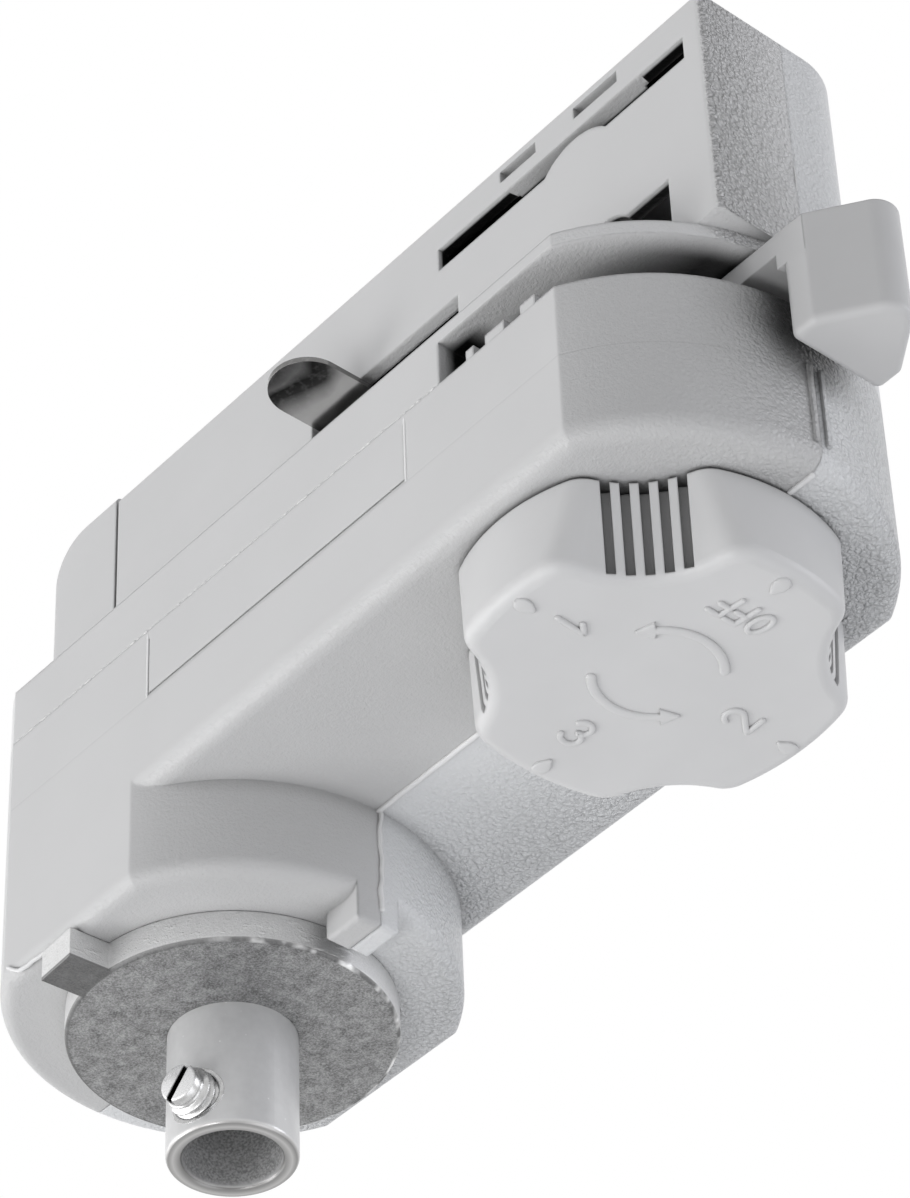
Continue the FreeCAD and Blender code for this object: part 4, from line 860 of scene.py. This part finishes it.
# %% Thread and slotted head
def thread_rows(start, end):
    """The threaded body: the root radius plus a rise, a flat-topped triangle of the phase."""
    turns = np.linspace(0, 2 * np.pi, 64, endpoint=False)
    along = np.linspace(start, end, 76)
    phase = (along[:, None] / THREAD_PITCH - turns[None, :] / (2 * np.pi)) % 1.0
    tooth = np.clip(1.35 - 2.7 * np.abs(phase - 0.5), 0.0, 1.0)
    fade = np.clip((end - 0.25 - along) / 0.35, 0.0, 1.0)[:, None]
    return round_rows(along, SCREW_ROOT + (CREST - SCREW_ROOT) * tooth * fade, turns)


def half_moon(turned_by, floor, top):
    """One side of the slotted head: a segment of a circle beside the slot, chamfered on top."""
    reach = np.arcsin(SLOT_WIDTH / 2 / SCREW_ROOT)
    sweep = np.linspace(reach, np.pi - reach, 33) + turned_by
    plan = np.stack([np.cos(sweep), np.sin(sweep)], axis=1)
    cos, sin = np.cos(SLOT_LEAN), np.sin(SLOT_LEAN)
    turned = plan @ np.array([[cos, sin], [-sin, cos]])
    rows = []
    for height, scale in ((floor, 1.0), (top - 0.22, 1.0), (top - 0.05, 0.93), (top, 0.86)):
        middle = height * OUT + np.array([0.0, 0.0, SCREW_Z])
        inset = turned.mean(axis=0) * (1 - scale) * 0.5
        flat = (turned * scale + inset) * SCREW_ROOT
        rows.append(middle + flat[:, :1] * SIDE + flat[:, 1:] * UP)
    return np.array(rows)


slot_floor = SCREW_END - SLOT_DEPTH
screw_patches = [thread_rows(SCREW_START, slot_floor)]
screw_patches += [half_moon(turned_by, slot_floor - 0.1, SCREW_END) for turned_by in (0.0, np.pi)]
screw = make_piece("slotted_screw", screw_patches, SCREW, "set_screw")
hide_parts("grub_screw")

# %% [markdown]
# ## The countersink round the screw
# The screw's hole was countersunk, which leaves a bright ring on the tube. It is a narrow band that
# lies on the tube's curve: a circle round the screw's axis, dropped onto the cylinder.

# %% The ring on the tube
def seat_ring(inner=2.12, outer=2.42, rise=0.03):
    """A ring on the tube: at each turn, four points at two radii, above and under the surface.

    A point aside from the screw's axis lies, along that axis, at the root of the cylinder's radius
    squared less its own offset squared.
    """
    turns = np.linspace(0, 2 * np.pi, 72, endpoint=False)
    loops = []
    for radius, lift in ((outer, -0.15), (outer, rise), (inner, rise), (inner, -0.15)):
        aside, high = radius * np.cos(turns), radius * np.sin(turns)
        out = np.sqrt((TUBE_RADIUS + lift) ** 2 - aside ** 2)
        loops.append(out[:, None] * OUT + aside[:, None] * SIDE + (SCREW_Z + high)[:, None] * UP)
    return np.stack(loops, axis=1)


make_piece("screw_seat", [seat_ring()], SCREW, "nipple", ring=True)

# %% [markdown]
# ## Camera
# The camera stands below the adapter and looks up at it, past the knob, with a long lens.

# %% The camera
camera = bpy.data.objects.new("camera", bpy.data.cameras.new("camera"))
camera.data.lens = 136.26
camera.data.sensor_width = 36.0
camera.data.clip_start = 0.01
CAMERA_PLACE = Vector((229.747, -179.755, -242.928)) * MM
look = Vector((-0.560553, 0.500445, 0.659799))
top = Vector((0.518835, -0.408750, 0.750822))
turn = Matrix((look.cross(top), top, -look)).transposed().to_4x4()
camera.matrix_world = Matrix.Translation(CAMERA_PLACE) @ turn
bpy.context.scene.collection.objects.link(camera)
bpy.context.scene.camera = camera
print("camera at", round(CAMERA_PLACE.length, 3), "m from the nipple")

# %% [markdown]
# ## Light and background
# The adapter is seen from below, so its floor lies far under it, out of the picture, and only sends
# light back up. Three broad lamps light the flat side and the underside, two narrower ones make the
# rounded edges glint, and one lights the knob end from behind. The camera, and what it sees in
# metal, gets a white background through Light Path, which adds no light to the plastic.

# %% World
world = bpy.data.worlds.new("studio")
world.use_nodes = True
bpy.context.scene.world = world
sky = world.node_tree
background = sky.nodes["Background"]
rays = sky.nodes.new("ShaderNodeLightPath")
seen = rays.outputs["Is Camera Ray"]
for kind in ("Is Transmission Ray", "Is Glossy Ray"):
    either = sky.nodes.new("ShaderNodeMath")
    either.operation = "MAXIMUM"
    sky.links.new(seen, either.inputs[0])
    sky.links.new(rays.outputs[kind], either.inputs[1])
    seen = either.outputs[0]
tint = sky.nodes.new("ShaderNodeMix")
tint.data_type = "RGBA"
tint.inputs[6].default_value = (0.97, 0.975, 1.0, 1.0)
tint.inputs[7].default_value = (1.0, 1.0, 1.0, 1.0)
sky.links.new(seen, tint.inputs[0])
sky.links.new(tint.outputs[2], background.inputs["Color"])
strength = sky.nodes.new("ShaderNodeMapRange")
strength.inputs["To Min"].default_value = 0.45
strength.inputs["To Max"].default_value = 1.0
sky.links.new(seen, strength.inputs["Value"])
sky.links.new(strength.outputs["Result"], background.inputs["Strength"])
print("world:", world.name, "with", len(sky.nodes), "nodes")


# %% Lamps
LIT_PLACE = Vector((0.03, 0.0, -0.01))


def soft_lamp(name, place, size, watts, tint=(1.0, 1.0, 1.0)):
    """A square area lamp that faces the adapter."""
    data = bpy.data.lights.new(name, "AREA")
    data.size = size
    data.energy = watts
    data.color = tint
    lamp = bpy.data.objects.new(name, data)
    lamp.location = place
    lamp.rotation_euler = (LIT_PLACE - lamp.location).to_track_quat("-Z", "Y").to_euler()
    bpy.context.scene.collection.objects.link(lamp)
    print(name, "watts:", watts)


soft_lamp("key_lamp", (-0.41, -0.69, -0.41), 0.75, 2.05)
soft_lamp("left_lamp", (-0.79, -0.42, -0.09), 0.75, 2.1)
soft_lamp("low_lamp", (0.55, 0.28, -0.65), 0.7, 1.5, (0.95, 0.96, 1.0))
soft_lamp("side_edge_lamp", (-0.50, -0.60, -0.45), 0.3, 1.3)
soft_lamp("end_edge_lamp", (0.12, -0.60, -0.68), 0.3, 1.3)
soft_lamp("end_lamp", (0.68, 0.55, 0.15), 0.35, 1.35, (0.93, 0.94, 1.0))
bpy.context.scene.view_settings.view_transform = "Standard"


# %% The floor, far below
def pale_floor(reach, level):
    """A wide pale floor that gives light back but shows as plain white."""
    mesh = bpy.data.meshes.new("pale_floor")
    corners = [(-reach, -reach), (reach, -reach), (reach, reach), (-reach, reach)]
    mesh.from_pydata([(x, y, level) for x, y in corners], [], [(0, 1, 2, 3)])
    n = Nodes("floor_finish")
    n.shade(Base_Color=(0.8, 0.8, 0.8, 1.0), Roughness=0.9)
    glow = n.add("ShaderNodeEmission", {"Color": (1.0, 1.0, 1.0, 1.0), "Strength": 1.0})
    path = n.add("ShaderNodeLightPath")
    share = n.calc("MAXIMUM", path.outputs["Is Camera Ray"], path.outputs["Is Glossy Ray"])
    both = n.add("ShaderNodeMixShader", {0: share, 1: n.shader.outputs[0], 2: glow.outputs[0]})
    n.tree.links.new(both.outputs[0], n.tree.nodes["Material Output"].inputs["Surface"])
    mesh.materials.append(n.material)
    floor = bpy.data.objects.new("pale_floor", mesh)
    bpy.context.scene.collection.objects.link(floor)


pale_floor(2.0, -1.0)
print("floor 1 m below the flange")
